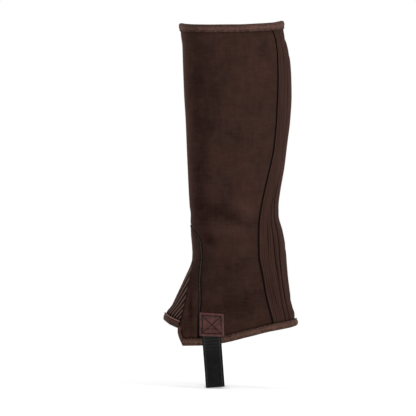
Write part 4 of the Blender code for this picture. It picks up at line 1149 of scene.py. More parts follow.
# the front piping is painted greyer upwards from low on the arch, as its highlight
piping_painted_highlight = make_thread_material(
    "piping_painted_highlight", PIPING_BLACK, 0.45, 0.05, rubbed=(colour(58, 54, 47), -0.132, -0.118),
)
low = float(hem_height(rear_seam[LOW_POINT, 0]) + REAR_TUCK * HEM_BINDING_WIDTH)
high = float(top_height(rear_seam[HIGH_POINT, 0]) - REAR_TUCK * TOP_BINDING_WIDTH)
rear_piping = along_paths(
    "rear_piping_cord", cord_tree, [on_skin(between(rear_seam, low, high), -PIPING_DEPTH)],
    Radius=0.88 * PIPING_RADIUS, Material=piping_black,
)
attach(rear_piping, "chap")
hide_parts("rear_piping")

seam_turns, seam_heights = near_front_seam.T
over_binding = seam_heights > hem_height(seam_turns) + FRONT_TUCK * HEM_BINDING_WIDTH
first = int(np.argmax(over_binding))
around_arch = front_seam[first:len(front_seam) - first]
front_piping = along_paths(
    "front_piping_cord", cord_tree, [on_skin(around_arch, -PIPING_DEPTH)],
    Radius=0.82 * PIPING_RADIUS, Material=piping_painted_highlight,
)
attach(front_piping, "chap")
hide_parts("front_piping")

# ---------------------------------------------------------------------------
# Bindings
# Brushed brown tape, folded over the top edge, the hem and the gusset's lower edge, and sewn
# through near its lip. It is softer and paler than the suede, and puckers a little at its stitches.
# ---------------------------------------------------------------------------

INNER_FOLD = 0.80          # in widths of the tape, like the profile's first numbers
WALL = 0.0023              # the wall that the tape folds over, with its clearance
BINDING_PROFILE = [
    # From the inner fold's end round the edge to the outer lip: how far from the panel's edge,
    # in widths of the tape, and how far out from the skin, in metres.
    (INNER_FOLD, -WALL - 0.0004), (0.78, -WALL - 0.0008), (0.45, -WALL - 0.0009),
    (0.10, -WALL - 0.0008), (-0.09, -WALL - 0.0002), (-0.150, -0.0016), (-0.155, -0.0006),
    (-0.110, 0.0006), (0.02, 0.0014), (0.25, 0.0018), (0.50, 0.0018), (0.72, 0.0014), (0.80, 0.0012),
    (0.90, 0.0014), (0.98, 0.0012), (1.01, 0.0007), (0.99, 0.0003), (0.60, 0.0003), (0.10, 0.0003),
    (-0.03, 0.0000), (-0.05, -0.0010), (-0.03, -WALL + 0.0002), (0.10, -WALL), (0.50, -WALL),
]
TAPE_RIPPLES = [
    # where its stitches pull it in
    Wave(0.00012, 0.0079, 0.0),
    Wave(0.0001, 0.0131, 2.0),
]
TAPE_THREAD = 0.0011       # from one cross rib of the tape to the next
TOP_BY_ZIP, HEM_BY_ZIP = 0.2335, -0.150  # heights near enough to the zip's two ends
TOP_STEPS, NEAR_STEPS, FAR_STEPS, GUSSET_STEPS = 420, 320, 180, 120  # places along each tape
GUSSET_TURN_IN = 0.02      # radians by which its tape stops short of the seam at each end
FULL_BEHIND = (105, 30)    # degrees of turn where the hem's tape fills out, and over how many
FULL_AT_HEEL = (180, 22)   # and where it is fullest, and how far from there it starts


def make_tape(name, dark, light, lip=None, paler_along_x=None):
    """Brushed woven tape: fine cross ribs under a short fuzz, paler where the brush caught it.

    lip is a paler colour painted on its sewn edge, as the highlight along its bead. The last
    argument gives two values of x, between which the tape gets paler towards the rear.
    """
    material, shader, tree = new_material(name)
    threads = coordinate(tree, "UV")
    along, across = part_of(tree, threads, "X"), part_of(tree, threads, "Y")
    nap = add_nap(tree, 0.020, 0.0028, 0.0005)
    wobble = maths(tree, "MULTIPLY", nap["Patches"], 2.5)
    turn = maths(tree, "ADD", maths(tree, "MULTIPLY", along, 2 * math.pi / TAPE_THREAD), wobble)
    cross = maths(tree, "SINE", turn)
    parts = [
        (spread(tree, nap["Clouds"]), 0.22), (spread(tree, nap["Patches"]), 0.48),
        (spread(tree, nap["Grain"]), 0.26), (cross, 0.08), (wave(tree, across, 0.25), 0.15),
        # paler down the middle of its width and darker towards its folded edge and its lip: a painted
        # highlight on the tape's round and painted shade at its sides
        (maths(tree, "ABSOLUTE", maths(tree, "SUBTRACT", across, 0.48)), -0.50),
    ]
    # paler towards the rear, between two values of x
    if paler_along_x:
        parts.append((spread(tree, part_of(tree, coordinate(tree), "X"), *paler_along_x), 0.15))
    base = blend(tree, weighted(tree, *parts), dark, light)
    # a paler colour painted on the sewn edge, as the highlight along its bead
    if lip:
        base = blend(tree, spread(tree, across, 0.84, 0.90), base, lip)
    rise = maths(tree, "ADD", nap["Height"], maths(tree, "MULTIPLY", cross, 0.35))
    finish(tree, shader, base, 0.9, 0.08, relief(tree, rise, 0.00016))
    add_sheen(tree, shader, 0.3, colour(200, 156, 138))
    return material


def closed_strip(name, rings, u, v, material):
    """A solid strip: rings of points along a path, each a closed profile, with capped ends."""
    count, around = rings.shape[:2]
    index = np.arange(count * around).reshape(count, around)
    ahead = np.roll(index, -1, axis=1)
    quads = np.stack([index[:-1], ahead[:-1], ahead[1:], index[1:]], -1).reshape(-1, 4).tolist()
    caps = [index[0][::-1].tolist(), index[-1].tolist()]
    mesh = bpy.data.meshes.new(name)
    mesh.from_pydata(rings.reshape(-1, 3).tolist(), [], [*quads, *caps])
    work = bmesh.new()
    work.from_mesh(mesh)
    bmesh.ops.triangulate(work, faces=[face for face in work.faces if len(face.verts) > 4])
    if work.calc_volume(signed=True) < 0:
        bmesh.ops.reverse_faces(work, faces=work.faces)
    work.to_mesh(mesh)
    work.free()
    lay_threads(mesh, np.stack(np.broadcast_arrays(u[:, None], v[None]), -1).reshape(-1, 2))
    mesh.materials.append(material)
    mesh.shade_smooth()
    return add_object(name, mesh)


def path_length(path):
    """How far each place of a path lies along it over the skin."""
    return running_length(bare_skin(path[:, 0], path[:, 1]))


def binding(name, path, width, into, material, profile=BINDING_PROFILE, proud=1.0, lip=0.0):
    """A folded tape along an edge. into is 1 where the panel lies to the left of the path.

    proud is how many times its usual height it stands off the panel, and lip is how much more
    its sewn edge does.
    """
    lengths = path_length(path)
    ripple = ripples(TAPE_RIPPLES, lengths)
    rings = []
    for share, out in profile:
        outer_fold = 0.0 < share and out > 0
        drift = ripple * (1.0 if outer_fold else 0.3)
        moved = beside(path, into * (share * width + (drift if share > 0.9 else 0)))
        raised = out * (proud if out > 0 else 1.0) + lip * outer_fold * hill(share - 0.92, 0.12)
        rings.append(skin(moved[:, 0], moved[:, 1], raised + drift * outer_fold))
    shares = np.array([share for share, _ in profile])
    return closed_strip(name, np.stack(rings, 1), lengths, shares, material)


def edge_path(edge, start, end, count):
    """A path of even turns along an edge."""
    turns = np.linspace(start, end, count)
    return np.stack([turns, edge(turns)], -1)


def full_at_heel(path):
    """The hem's tape lies flat under the strap, and is fuller behind it and most at the heel."""
    past = np.degrees(np.abs(path[:, 0]))
    (start, length), (heel, reach) = FULL_BEHIND, FULL_AT_HEEL
    return 1 + 0.6 * ease((past - start) / length) + 0.5 * ease(1 - np.abs(past - heel) / reach)


top_tape = make_tape("top_tape", colour(34, 21, 18), colour(107, 78, 70), paler_along_x=(-0.06, 0.04))
hem_tape = make_tape("hem_tape", colour(34, 20, 16), colour(112, 83, 72))
# the gusset's tape has a highlight painted along its lip
gusset_tape = make_tape("gusset_tape", colour(32, 20, 16), colour(88, 62, 53), lip=colour(130, 92, 86))

top_start, top_end = float(main_zip_turn(TOP_BY_ZIP)), float(calf_zip_turn(TOP_BY_ZIP)) + 2 * np.pi
far_start, near_end = float(main_zip_turn(HEM_BY_ZIP)), float(calf_zip_turn(HEM_BY_ZIP)) + 2 * np.pi
corner = float(instep_inner[0, 0])
gusset_end = float(gusset_edge_turn(gusset_foot)) - GUSSET_TURN_IN
top_path = edge_path(top_height, top_start, top_end, TOP_STEPS)
near_path = edge_path(hem_height, corner, near_end, NEAR_STEPS)
far_path = edge_path(hem_height, far_start, -corner, FAR_STEPS)
gusset_path = edge_path(gusset_hem_height, -gusset_end, gusset_end, GUSSET_STEPS)

for name, path, width, into, material, proud, lip in (
    ("top_binding", top_path, TOP_BINDING_WIDTH, -1, top_tape, 1.0, 0.0),
    ("hem_binding_near", near_path, HEM_BINDING_WIDTH, 1, hem_tape, full_at_heel(near_path), 0.0),
    ("hem_binding_far", far_path, HEM_BINDING_WIDTH, 1, hem_tape, full_at_heel(far_path), 0.0),
    ("gusset_binding", gusset_path, HEM_BINDING_WIDTH * 1.02, 1, gusset_tape, 1.4, 0.0007),
):
    piece = binding(name + "_tape", path, width, into, material, proud=proud, lip=lip)
    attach(piece, "chap")
    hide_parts(name)
    length = float(path_length(path)[-1])

# The instep panel's free edges, between the gusset and the hem, are turned in and bound narrowly.
EDGE_PROFILE = [
    (0.9, -WALL + 0.0002), (0.4, -WALL - 0.0003), (-0.2, -WALL + 0.0003), (-0.35, -0.0010),
    (-0.25, 0.0002), (0.1, 0.0009), (0.5, 0.0010), (0.85, 0.0008), (1.0, 0.0003), (0.95, 0.0001),
    (0.3, 0.0001), (-0.05, -0.0008), (0.3, -WALL + 0.0008),
]
FREE_STEPS = 23            # of the gusset's seam, from the hem up to the gusset
edge_tape = make_tape("edge_tape", colour(40, 25, 22), colour(96, 68, 61))
free_edge = beside(near_gusset_seam[:FREE_STEPS], -2 * GAP)
for name, path, into in (
    ("instep_edge_near", free_edge, -1),
    ("instep_edge_far", mirrored(free_edge), 1),
):
    piece = binding(name, path, EDGE_WIDTH, into, edge_tape, EDGE_PROFILE)
    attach(piece, "chap")

# ---------------------------------------------------------------------------
# Foot strap
# Black elastic webbing, one loop from patch to patch under the foot. Two raised cords run near
# each edge, and the weave's ribs cross it.
# ---------------------------------------------------------------------------

STRAP = 0.0014
STRAP_WIDTH = 0.0236
STRAP_COLUMNS = 40
SIDE_STEPS, CORNER_STEPS, UNDER_STEPS = 46, 9, 24  # rows down each side, round a corner and under
STRAP_LEAN = math.radians(4.2)
STRAP_X, STRAP_Z = -0.0282, -0.1585  # a place on its middle line, under the patch
STRAP_TOP = -0.1490
STRAP_PROUD = 0.0018
STRAP_CLIMB = (-0.1515, 0.0045)  # the height where it starts down over the binding, and for how far
SKIN_END = -0.1705         # where it leaves the hem
STRAP_LOW = -0.2080        # where it stands straight over its lower corner
STRAP_BOTTOM = -0.2216
STRAP_HALF_SPAN = 0.0400
STRAP_CORNER = 0.0070
Ridge = namedtuple("Ridge", "from_edge width height")
STRAP_RIDGES = [
    # the two cords by each edge, the groove between them and the edge's own rounding
    Ridge(0.0024, 0.0005, 0.00022),
    Ridge(0.0037, 0.0005, 0.00022),
    Ridge(0.0031, 0.0004, -0.00020),
    Ridge(0.0, 0.0005, -0.0006),
]


def strap_out(height):
    """How far the strap stands off the skin: it climbs over the hem binding."""
    start, length = STRAP_CLIMB
    return mix(GAP, STRAP_PROUD, ease((start - height) / length))


strap_across = np.array([math.cos(STRAP_LEAN), 0, math.sin(STRAP_LEAN)])
strap_shares = np.linspace(-0.5, 0.5, STRAP_COLUMNS + 1)


def strap_middle(height):
    return STRAP_X + math.tan(STRAP_LEAN) * (STRAP_Z - height)


def strap_line(y, z):
    """The strap's inner face, in rows across it, where its middle line has these y and z."""
    middle = np.stack([strap_middle(z), y, z], -1)
    return middle[:, None] + strap_across * (STRAP_WIDTH * strap_shares)[:, None]


def strap_side(side):
    """Its inner face on one side of the foot, from its sewn end down."""
    heights = np.linspace(STRAP_TOP, STRAP_LOW, SIDE_STEPS)
    rows = strap_line(0 * heights, heights)
    z = rows[..., 2]
    at = np.maximum(z, SECTIONS[-1].height)
    turn = side * side_turn(rows[..., 0], at)
    at_skin = np.abs(skin(turn, at, strap_out(z))[..., 1])
    share = ease((z - SKIN_END) / (STRAP_LOW - SKIN_END))
    rows[..., 1] = -side * mix(at_skin, STRAP_HALF_SPAN, share)
    return rows


def strap_under():
    """Its inner face round the lower corners and across under the foot."""
    floor = STRAP_BOTTOM + STRAP
    angles = np.radians(np.linspace(0, 90, CORNER_STEPS))
    y = STRAP_HALF_SPAN - STRAP_CORNER + STRAP_CORNER * np.cos(angles)
    z = floor + STRAP_CORNER - STRAP_CORNER * np.sin(angles)
    flat = np.linspace(-y[-1], y[-1], UNDER_STEPS)[1:-1]
    return strap_line(
        np.concatenate([-y, flat, y[::-1]]), np.concatenate([z, floor + 0 * flat, z[::-1]]),
    )


strap_rows = np.concatenate([strap_side(1), strap_under(), strap_side(-1)[::-1]])
strap_normal = unit(np.cross(np.gradient(strap_rows, axis=0), np.gradient(strap_rows, axis=1)))
from_edge = STRAP_WIDTH * (0.5 - np.abs(strap_shares))
ridges = sum(ridge.height * hill(from_edge - ridge.from_edge, ridge.width) for ridge in STRAP_RIDGES)
outer = strap_rows + strap_normal * (STRAP + ridges[None])[..., None]
inner = strap_rows + strap_normal * np.where(from_edge < 0.0004, 0.0003, 0.0)[None, :, None]
strap_lengths = running_length(strap_rows[:, STRAP_COLUMNS // 2])
half_strap = float(strap_lengths[-1]) / 2


def make_webbing():
    """Elastic webbing: rows of tight cross ribs, painted paler in stripes near its sewn ends as
    their sheen there, with a painted highlight along each raised cord.
    """
    material, shader, tree = new_material("strap_webbing")
    threads, place = coordinate(tree, "UV"), coordinate(tree)
    along, across = part_of(tree, threads, "X"), part_of(tree, threads, "Y")
    dust, fibre = noise(tree, place, 120.0, 4.0, 0.7), noise(tree, place, 2400.0)
    ribs, yarns = wave(tree, along, 0.0013), wave(tree, across, 1 / 16)
    weave = maths(tree, "MULTIPLY", spread(tree, ribs, -1, 1), spread(tree, yarns, -1, 1))
    near_edge = maths(tree, "ABSOLUTE", across)
    # a painted highlight along each raised cord near the edges
    cord = maths(tree, "COSINE", maths(tree, "MULTIPLY", maths(tree, "SUBTRACT", near_edge, 0.39), 44.0))
    cord = maths(tree, "MULTIPLY", spread(tree, near_edge, 0.32, 0.35), spread(tree, cord, 0.2, 1.0))
    # paler stripes over the ribs near the patches, painted as their sheen
    from_middle = maths(tree, "ABSOLUTE", maths(tree, "SUBTRACT", along, half_strap))
    by_patch = spread(tree, from_middle, half_strap - 0.034, half_strap - 0.018)
    rows = maths(tree, "MULTIPLY", spread(tree, wave(tree, along, 0.0040), -1, 1), by_patch)
    share = weighted(tree, (weave, 0.25), (spread(tree, dust, 0.4, 0.75), 0.12), (cord, 0.5), (rows, 0.22))
    rise = maths(tree, "ADD", weave, maths(tree, "MULTIPLY", fibre, 0.4))
    base = blend(tree, share, colour(9, 8, 9), colour(58, 57, 57))
    finish(tree, shader, base, 0.82, 0.10, relief(tree, rise, 0.0002))
    return material


foot_strap = closed_strip(
    "foot_strap_webbing", np.concatenate([outer, inner[:, ::-1]], 1), strap_lengths,
    np.concatenate([strap_shares, strap_shares[::-1]]), make_webbing(),
)
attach(foot_strap, "chap")
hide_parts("foot_strap")

# ---------------------------------------------------------------------------
# Strap patches
# Squares of reddish brown leather, one over each end of the strap, sewn down with a box and a
# cross of dark thread. The strap's end stands out through them a little.
# ---------------------------------------------------------------------------

PATCH = 0.0014
PATCH_WALL = 0.0012        # built a little thinner, to stay clear of what it lies on
Corner = namedtuple("Corner", "x z")
PATCH_CORNERS = (
    # as seen from the near side: the lower two, then the upper two
    Corner(-0.0429, -0.1567), Corner(-0.0127, -0.1575),
    Corner(-0.0428, -0.1282), Corner(-0.0138, -0.1299),
)
PATCH_STEPS = 48
PATCH_LINE_STEPS = 24      # along each line of its stitches
PATCH_SIZE = 0.030         # its sides, near enough for where its threads run
PATCH_SOFT = 0.022         # how wide a line of stitches dents it, as a share of its side
STITCH_SINK = 0.00035
STITCH_RISE = 0.00012      # from the bottom of the dent to the middle of a stitch
NEAR, FAR = 0.11, 1 - 0.11  # where its box of stitches lies, as shares of its sides
PATCH_LINES = [
    # a box and then its two diagonals, each from one (across, up) to another
    (NEAR, NEAR, FAR, NEAR),
    (FAR, NEAR, FAR, FAR),
    (FAR, FAR, NEAR, FAR),
    (NEAR, FAR, NEAR, NEAR),
    (NEAR, NEAR, FAR, FAR),
    (NEAR, FAR, FAR, NEAR),
]


def thrice(tree, value, factor):
    """A vector of one value three times, times a factor."""
    part = maths(tree, "MULTIPLY", value, factor)
    return node(tree, "ShaderNodeCombineXYZ", ("X", part), ("Y", part), ("Z", part)).outputs[0]


def vector_maths(tree, operation, a, b):
    return node(tree, "ShaderNodeVectorMath", (0, a), (1, b), operation=operation).outputs[0]


def make_row_tree():
    """Geometry nodes: a small body repeated along a path, turned to its run and to the skin."""
    tree, given, put = new_group("row_of_pieces", "GeometryNodeTree", [
        ("Geometry", "NodeSocketGeometry", None),
        ("Pitch", "NodeSocketFloat", 0.003),
        ("Size", "NodeSocketVector", (0.001, 0.0003, 0.0003)),
        ("Unevenness", "NodeSocketFloat", 0.0),
        ("Seed", "NodeSocketInt", 1),
        ("Material", "NodeSocketMaterial", None),
    ], [("Geometry", "NodeSocketGeometry")])
    path = node(tree, "GeometryNodeMeshToCurve", ("Mesh", given["Geometry"]))
    steps = node(tree, "GeometryNodeResampleCurve", ("Curve", path.outputs[0]), ("Length", given["Pitch"]),
                 mode="LENGTH")
    tangent = node(tree, "GeometryNodeInputTangent")
    normal = node(tree, "GeometryNodeInputNamedAttribute", ("Name", "out"), data_type="FLOAT_VECTOR")
    along = node(tree, "FunctionNodeAlignRotationToVector", ("Vector", tangent.outputs[0]), axis="X")
    turned = node(tree, "FunctionNodeAlignRotationToVector", ("Rotation", along.outputs[0]),
                  ("Vector", normal.outputs[0]), axis="Z", pivot_axis="X")
    body = node(tree, "GeometryNodeMeshUVSphere", ("Segments", 8), ("Rings", 6), ("Radius", 1.0))
    low, high = (thrice(tree, given["Unevenness"], sign) for sign in (-1.0, 1.0))
    uneven = node(tree, "FunctionNodeRandomValue", (0, low), (1, high), ("Seed", given["Seed"]),
                  data_type="FLOAT_VECTOR").outputs[0]
    factor = vector_maths(tree, "ADD", uneven, (1.0, 1.0, 1.0))
    size = vector_maths(tree, "MULTIPLY", given["Size"], factor)
    placed = node(tree, "GeometryNodeInstanceOnPoints", ("Points", steps.outputs[0]),
                  ("Instance", body.outputs["Mesh"]), ("Rotation", turned.outputs[0]), ("Scale", size))
    real = node(tree, "GeometryNodeRealizeInstances", ("Geometry", placed.outputs[0]))
    dressed(tree, put, real.outputs[0], given["Material"])
    return tree


def make_leather():
    """Smooth leather with a fine pebble, paler with wear on its raised parts and edges."""
    material, shader, tree = new_material("patch_leather")
    place = coordinate(tree)
    cells = node(tree, "ShaderNodeTexVoronoi", ("Vector", place), ("Scale", 1100.0)).outputs["Distance"]
    clouds, fine = noise(tree, place, 160.0, 5.0, 0.65), noise(tree, place, 1500.0)
    share = weighted(tree, (spread(tree, clouds), 0.7), (fine, 0.3), (tone_and_painted_shade(tree), 1.0))
    base = blend(tree, share, colour(40, 18, 15), colour(94, 57, 51))
    rough = spread(tree, clouds, 0.3, 0.7, 0.62, 0.48)
    rise = maths(tree, "ADD", cells, maths(tree, "MULTIPLY", clouds, 1.5))
    finish(tree, shader, base, rough, 0.2, relief(tree, rise, 0.00012, 0.8))
    return material


def patch_places(side, across, up):
    """Where a patch's points lie, as turns, heights and the height of its underside over the skin."""
    corners = np.array(PATCH_CORNERS)
    across, up = np.asarray(across)[..., None], np.asarray(up)[..., None]
    at = mix(mix(corners[0], corners[1], across), mix(corners[2], corners[3], across), up)
    x, height = at[..., 0], at[..., 1]
    from_middle = np.abs((x - strap_middle(height)) * math.cos(STRAP_LEAN))
    over = ease((STRAP_WIDTH / 2 + 0.0014 - from_middle) / 0.0016)
    over = over * ease((STRAP_TOP + 0.0016 - height) / 0.0018)
    out = mix(GAP, strap_out(height - GAP) + STRAP + GAP, over)
    return side * side_turn(x, height), height, out


def line_distance(x, y, x0, y0, x1, y1):
    """How far points lie from the line between two others."""
    length = (x1 - x0) ** 2 + (y1 - y0) ** 2
    along = np.clip(((x - x0) * (x1 - x0) + (y - y0) * (y1 - y0)) / length, 0, 1)
    return np.hypot(x - mix(x0, x1, along), y - mix(y0, y1, along))


row_tree = make_row_tree()
patch_leather = make_leather()
thread_dark = make_thread_material("thread_dark", colour(14, 7, 6), 0.6, 0.1)
patch_across, patch_up = np.meshgrid(*[np.linspace(0, 1, PATCH_STEPS + 1)] * 2)
for word, side in (("near", 1), ("far", -1)):
    turn, height, under = patch_places(side, patch_across, patch_up)
    sink = sum(
        STITCH_SINK * hill(line_distance(patch_across, patch_up, *line), PATCH_SOFT)
        for line in PATCH_LINES
    )
    sink = np.minimum(sink, STITCH_SINK)
    edge = np.minimum.reduce([patch_across, 1 - patch_across, patch_up, 1 - patch_up])
    out = under + PATCH - sink - 0.0005 * hill(edge, PATCH_SOFT)
    # paler along the patch's rubbed edges, and painted shade in the dents of its stitches
    shade = 0.5 * hill(edge, 0.02) - 0.6 * sink / STITCH_SINK
    grids = [turn, height, out, patch_across * PATCH_SIZE, patch_up * PATCH_SIZE, shade]
    if side < 0:
        grids = [part[:, ::-1] for part in grids]
    patch = cloth(f"strap_patch_{word}_leather", [grids], PATCH_WALL, [patch_leather])
    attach(patch, "chap")
    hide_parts(f"strap_patch_{word}")
    lines = []
    for x0, y0, x1, y1 in PATCH_LINES:
        share = np.linspace(0.0, 1.0, PATCH_LINE_STEPS)
        turn, height, under = patch_places(side, mix(x0, x1, share), mix(y0, y1, share))
        run = np.stack([turn, height], -1)
        lines.append(on_skin(run, under + PATCH - STITCH_SINK + STITCH_RISE))
    sewn = along_paths(
        f"strap_patch_{word}_stitches", row_tree, lines,
        Pitch=0.0026, Size=(0.00105, 0.00036, 0.00024), Unevenness=0.08, Seed=5, Material=thread_dark,
    )
    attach(sewn, "chap")

# ---------------------------------------------------------------------------
# Rows of stitches
# Lockstitch in brown thread through the bindings near their lips, and through the turned edges
# on each side of the zip.
# ---------------------------------------------------------------------------

STITCH = (0.00105, 0.00024, 0.00018)
STITCH_LINE = 0.80         # from a bound edge to its row of stitches, in widths of the tape
STITCH_OUT = 0.00125       # from the skin out to the stitches through a binding


def stitch_row(path, distance, out):
    return on_skin(beside(path, distance), out)


def binding_row(path, width):
    """The stitches through a binding. Its width is under 0 where it lies to the path's right."""
    return stitch_row(path[2:-2], STITCH_LINE * width, STITCH_OUT)


thread_brown = make_thread_material("thread_brown", colour(30, 17, 13), 0.65, 0.1)
zip_low = float(hem_height(zip_line[LOW_POINT, 0])) + HEM_BINDING_WIDTH + 0.001
zip_high = float(top_height(zip_line[HIGH_POINT, 0])) - TOP_BINDING_WIDTH - 0.001
zip_run = between(zip_line, zip_low, zip_high)
for name, lines in (
    ("top_binding_stitches", [binding_row(top_path, -TOP_BINDING_WIDTH)]),
    ("hem_binding_stitches", [
        binding_row(near_path, HEM_BINDING_WIDTH), binding_row(far_path, HEM_BINDING_WIDTH),
    ]),
    ("gusset_binding_stitches", [binding_row(gusset_path, HEM_BINDING_WIDTH)]),
    ("zip_edge_stitches", [
        stitch_row(zip_run, -ZIP_CHANNEL - ZIP_STITCH_LINE, -0.0003),
        stitch_row(zip_run, ZIP_CHANNEL + ZIP_STITCH_LINE, 0.0000),
    ]),
):
    sewn = along_paths(
        name, row_tree, lines,
        Pitch=0.0029, Size=STITCH, Unevenness=0.10, Seed=11, Material=thread_brown,
    )
    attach(sewn, "chap")

# ---------------------------------------------------------------------------
# Zip
# A coil zip down the far rear seam: two woven tapes under the panels' turned edges, two rows of
# nylon coil, a metal slider near the top with its pull tab, and a retainer box at the foot.
# ---------------------------------------------------------------------------

TAPE_OUT = -0.0023         # the tapes' face, under the skin
TAPE = 0.0008
TAPE_WIDTH = 0.0100
TAPE_PARTING = 0.0004      # from the zip's middle to each tape
TAPE_WEDGE = 0.0019        # the same at the slider's wedge and over it
TAPE_TONGUE = {-1: 0.0064, 1: 0.0060}  # from the zip's middle to where the hem's bindings start
TONGUE_LENGTH = 0.009
TONGUE_GAP = 0.0006        # from the hem to the tongues' ends
TAPE_ROWS = 184
TAPE_LOW_GAP, TAPE_HIGH_GAP = 0.0012, 0.0018  # from the bindings' inner folds to the tapes' ends
SLIDER_HEIGHT = 0.2145
SLIDER_LENGTH = 0.0120
COIL_PITCH = 0.0014
COIL = (0.00058, 0.00145, 0.00075)  # half sizes of a turn of the coil: along, across, out
COIL_OUT = TAPE_OUT + 0.0005
COIL_OFFSET = 0.00085      # from the zip's middle to each side's coil, where it is closed
CLOSED_STEPS, PARTED_STEPS = 240, 12  # along each side's coil, under the slider and over it


def make_zip_tape():
    """Woven zip tape: a fine herringbone of black yarn."""
    material, shader, tree = new_material("zip_tape_weave")
    threads = coordinate(tree, "UV")
    zigzag = maths(tree, "PINGPONG", part_of(tree, threads, "X"), 0.0016)
    twill = wave(tree, maths(tree, "ADD", part_of(tree, threads, "Y"), zigzag), 0.0009)
    share = maths(tree, "MULTIPLY", spread(tree, twill, -1, 1), noise(tree, coordinate(tree), 1800.0))
    base = blend(tree, share, colour(11, 10, 10), colour(40, 37, 36))
    finish(tree, shader, base, 0.8, 0.12, relief(tree, twill, 0.00008, 0.8))
    return material


def make_zip_metal():
    """Dark lacquered zip metal, rubbed a little brighter in patches."""
    material, shader, tree = new_material("zip_metal_dark")
    rubbed = noise(tree, coordinate(tree), 700.0, 4.0, 0.7)
    base = blend(tree, spread(tree, rubbed, 0.5, 0.9), colour(64, 60, 58), colour(96, 90, 86))
    rough = spread(tree, rubbed, 0.3, 0.7, 0.26, 0.36)
    finish(tree, shader, base, rough, 0.5, relief(tree, rubbed, 0.00004))
    feed(tree, shader, ("Metallic", 0.9))
    return material


zip_weave, zip_metal = make_zip_tape(), make_zip_metal()
zip_nylon = make_thread_material("zip_nylon", colour(14, 13, 13), 0.36, 0.4)
tape_low = float(hem_height(-zip_line[LOW_POINT, 0])) + INNER_FOLD * HEM_BINDING_WIDTH + TAPE_LOW_GAP
tape_high = float(top_height(zip_line[HIGH_POINT, 0])) - INNER_FOLD * TOP_BINDING_WIDTH - TAPE_HIGH_GAP
tape_heights = np.linspace(tape_low - TONGUE_LENGTH, tape_high, TAPE_ROWS)
parting = ease((tape_heights - SLIDER_HEIGHT + SLIDER_LENGTH) / SLIDER_LENGTH)


def zip_middle(heights):
    """The zip's middle line at heights, as a path."""
    return np.stack([edge_turn(zip_line)(heights), heights], -1)


def tape_patch(side):
    """One tape: it ends over the hem's binding, but for a tongue behind the retainer box."""
    tongue = (TAPE_TONGUE[side] - TAPE_PARTING) / (TAPE_WIDTH - TAPE_PARTING)
    across = np.r_[np.linspace(0, tongue, 9), np.linspace(tongue + 0.02, 1, 5)][::-side]
    start = mix(TAPE_PARTING, TAPE_WEDGE, parting)
    turns, heights = [], []
    for share in across:
        offset = side * mix(start, TAPE_WIDTH, share)
        turn_at_height = edge_turn(beside(zip_middle(tape_heights), offset))
        over_hem = TONGUE_GAP if share <= tongue else INNER_FOLD * HEM_BINDING_WIDTH + TAPE_LOW_GAP
        low_edge = float(hem_height(float(turn_at_height(tape_low)))) + over_hem
        head = float(turn_at_height(tape_high))
        high_edge = float(top_height(head)) - INNER_FOLD * TOP_BINDING_WIDTH - TAPE_HIGH_GAP
        heights.append(np.linspace(low_edge, high_edge, TAPE_ROWS))
        turns.append(turn_at_height(heights[-1]))
    turn, height = np.stack(turns, 1), np.stack(heights, 1)
    return [turn, height, TAPE_OUT + 0 * turn, across[None] * TAPE_WIDTH + 0 * turn, height, 0.0]


for word, side in (("front", -1), ("rear", 1)):
    tape = cloth(f"zip_tape_{word}_weave", [tape_patch(side)], TAPE, [zip_weave])
    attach(tape, "chap")
    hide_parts(f"zip_tape_{word}")

coil_lines = []
closed_top = SLIDER_HEIGHT - 0.35 * SLIDER_LENGTH
for side in (-1, 1):
    closed = np.linspace(tape_low + 0.0008 + side * COIL_PITCH / 4, closed_top, CLOSED_STEPS)
    parted = np.linspace(SLIDER_HEIGHT + 0.3 * SLIDER_LENGTH, tape_high - 0.0010, PARTED_STEPS)
    for heights, offset in ((closed, COIL_OFFSET), (parted, TAPE_WEDGE + 0.0009)):
        coil_lines.append(on_skin(beside(zip_middle(heights), side * offset), COIL_OUT))
zip_coil = along_paths(
    "zip_coil_nylon", row_tree, coil_lines,
    Pitch=COIL_PITCH, Size=COIL, Unevenness=0.0, Seed=1, Material=zip_nylon,
)
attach(zip_coil, "chap")
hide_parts("zip_chain")


def zip_frame(height):
    """A frame on the zip's line: x across the zip, y up along it, z out of the skin."""
    heights = np.array([height - 0.002, height, height + 0.002])
    turn = edge_turn(zip_line)(heights)
    points = bare_skin(turn, heights)
    up = Vector(points[2] - points[0]).normalized()
    out = Vector(outward(turn[1], heights[1]))
    right = up.cross(out).normalized()
    out = right.cross(up)
    return Matrix((
        (right.x, up.x, out.x, points[1][0]),
        (right.y, up.y, out.y, points[1][1]),
        (right.z, up.z, out.z, points[1][2]),
        (0, 0, 0, 1),
    ))


def plate(work, outline, low, high, matrix=Matrix()):
    """Adds a flat plate with an outline in x and y, between two heights."""
    rings = [[work.verts.new(matrix @ Vector((x, y, z))) for x, y in outline] for z in (low, high)]
    count = len(outline)
    work.faces.new(rings[0][::-1])
    work.faces.new(rings[1])
    for i in range(count):
        j = (i + 1) % count
        work.faces.new((rings[0][i], rings[0][j], rings[1][j], rings[1][i]))


def oblong(half_width, low, high):
    """The outline of an oblong plate about x = 0."""
    return [(-half_width, low), (half_width, low), (half_width, high), (-half_width, high)]


def finish_metal(name, work, frame_matrix, bevel):
    """Turns bevelled metal work into a piece with its place in its mesh."""
    bmesh.ops.recalc_face_normals(work, faces=work.faces)
    sharp = [edge for edge in work.edges if len(edge.link_faces) == 2 and edge.calc_face_angle(0) > 0.6]
    bmesh.ops.bevel(work, geom=sharp, offset=bevel, segments=3, affect="EDGES", profile=0.6)
    bmesh.ops.transform(work, matrix=frame_matrix, verts=work.verts)
    mesh = bpy.data.meshes.new(name)
    work.to_mesh(mesh)
    work.free()
    mesh.materials.append(zip_metal)
    mesh.shade_smooth()
    mesh.set_sharp_from_angle(angle=math.radians(50))
    return add_object(name, mesh)


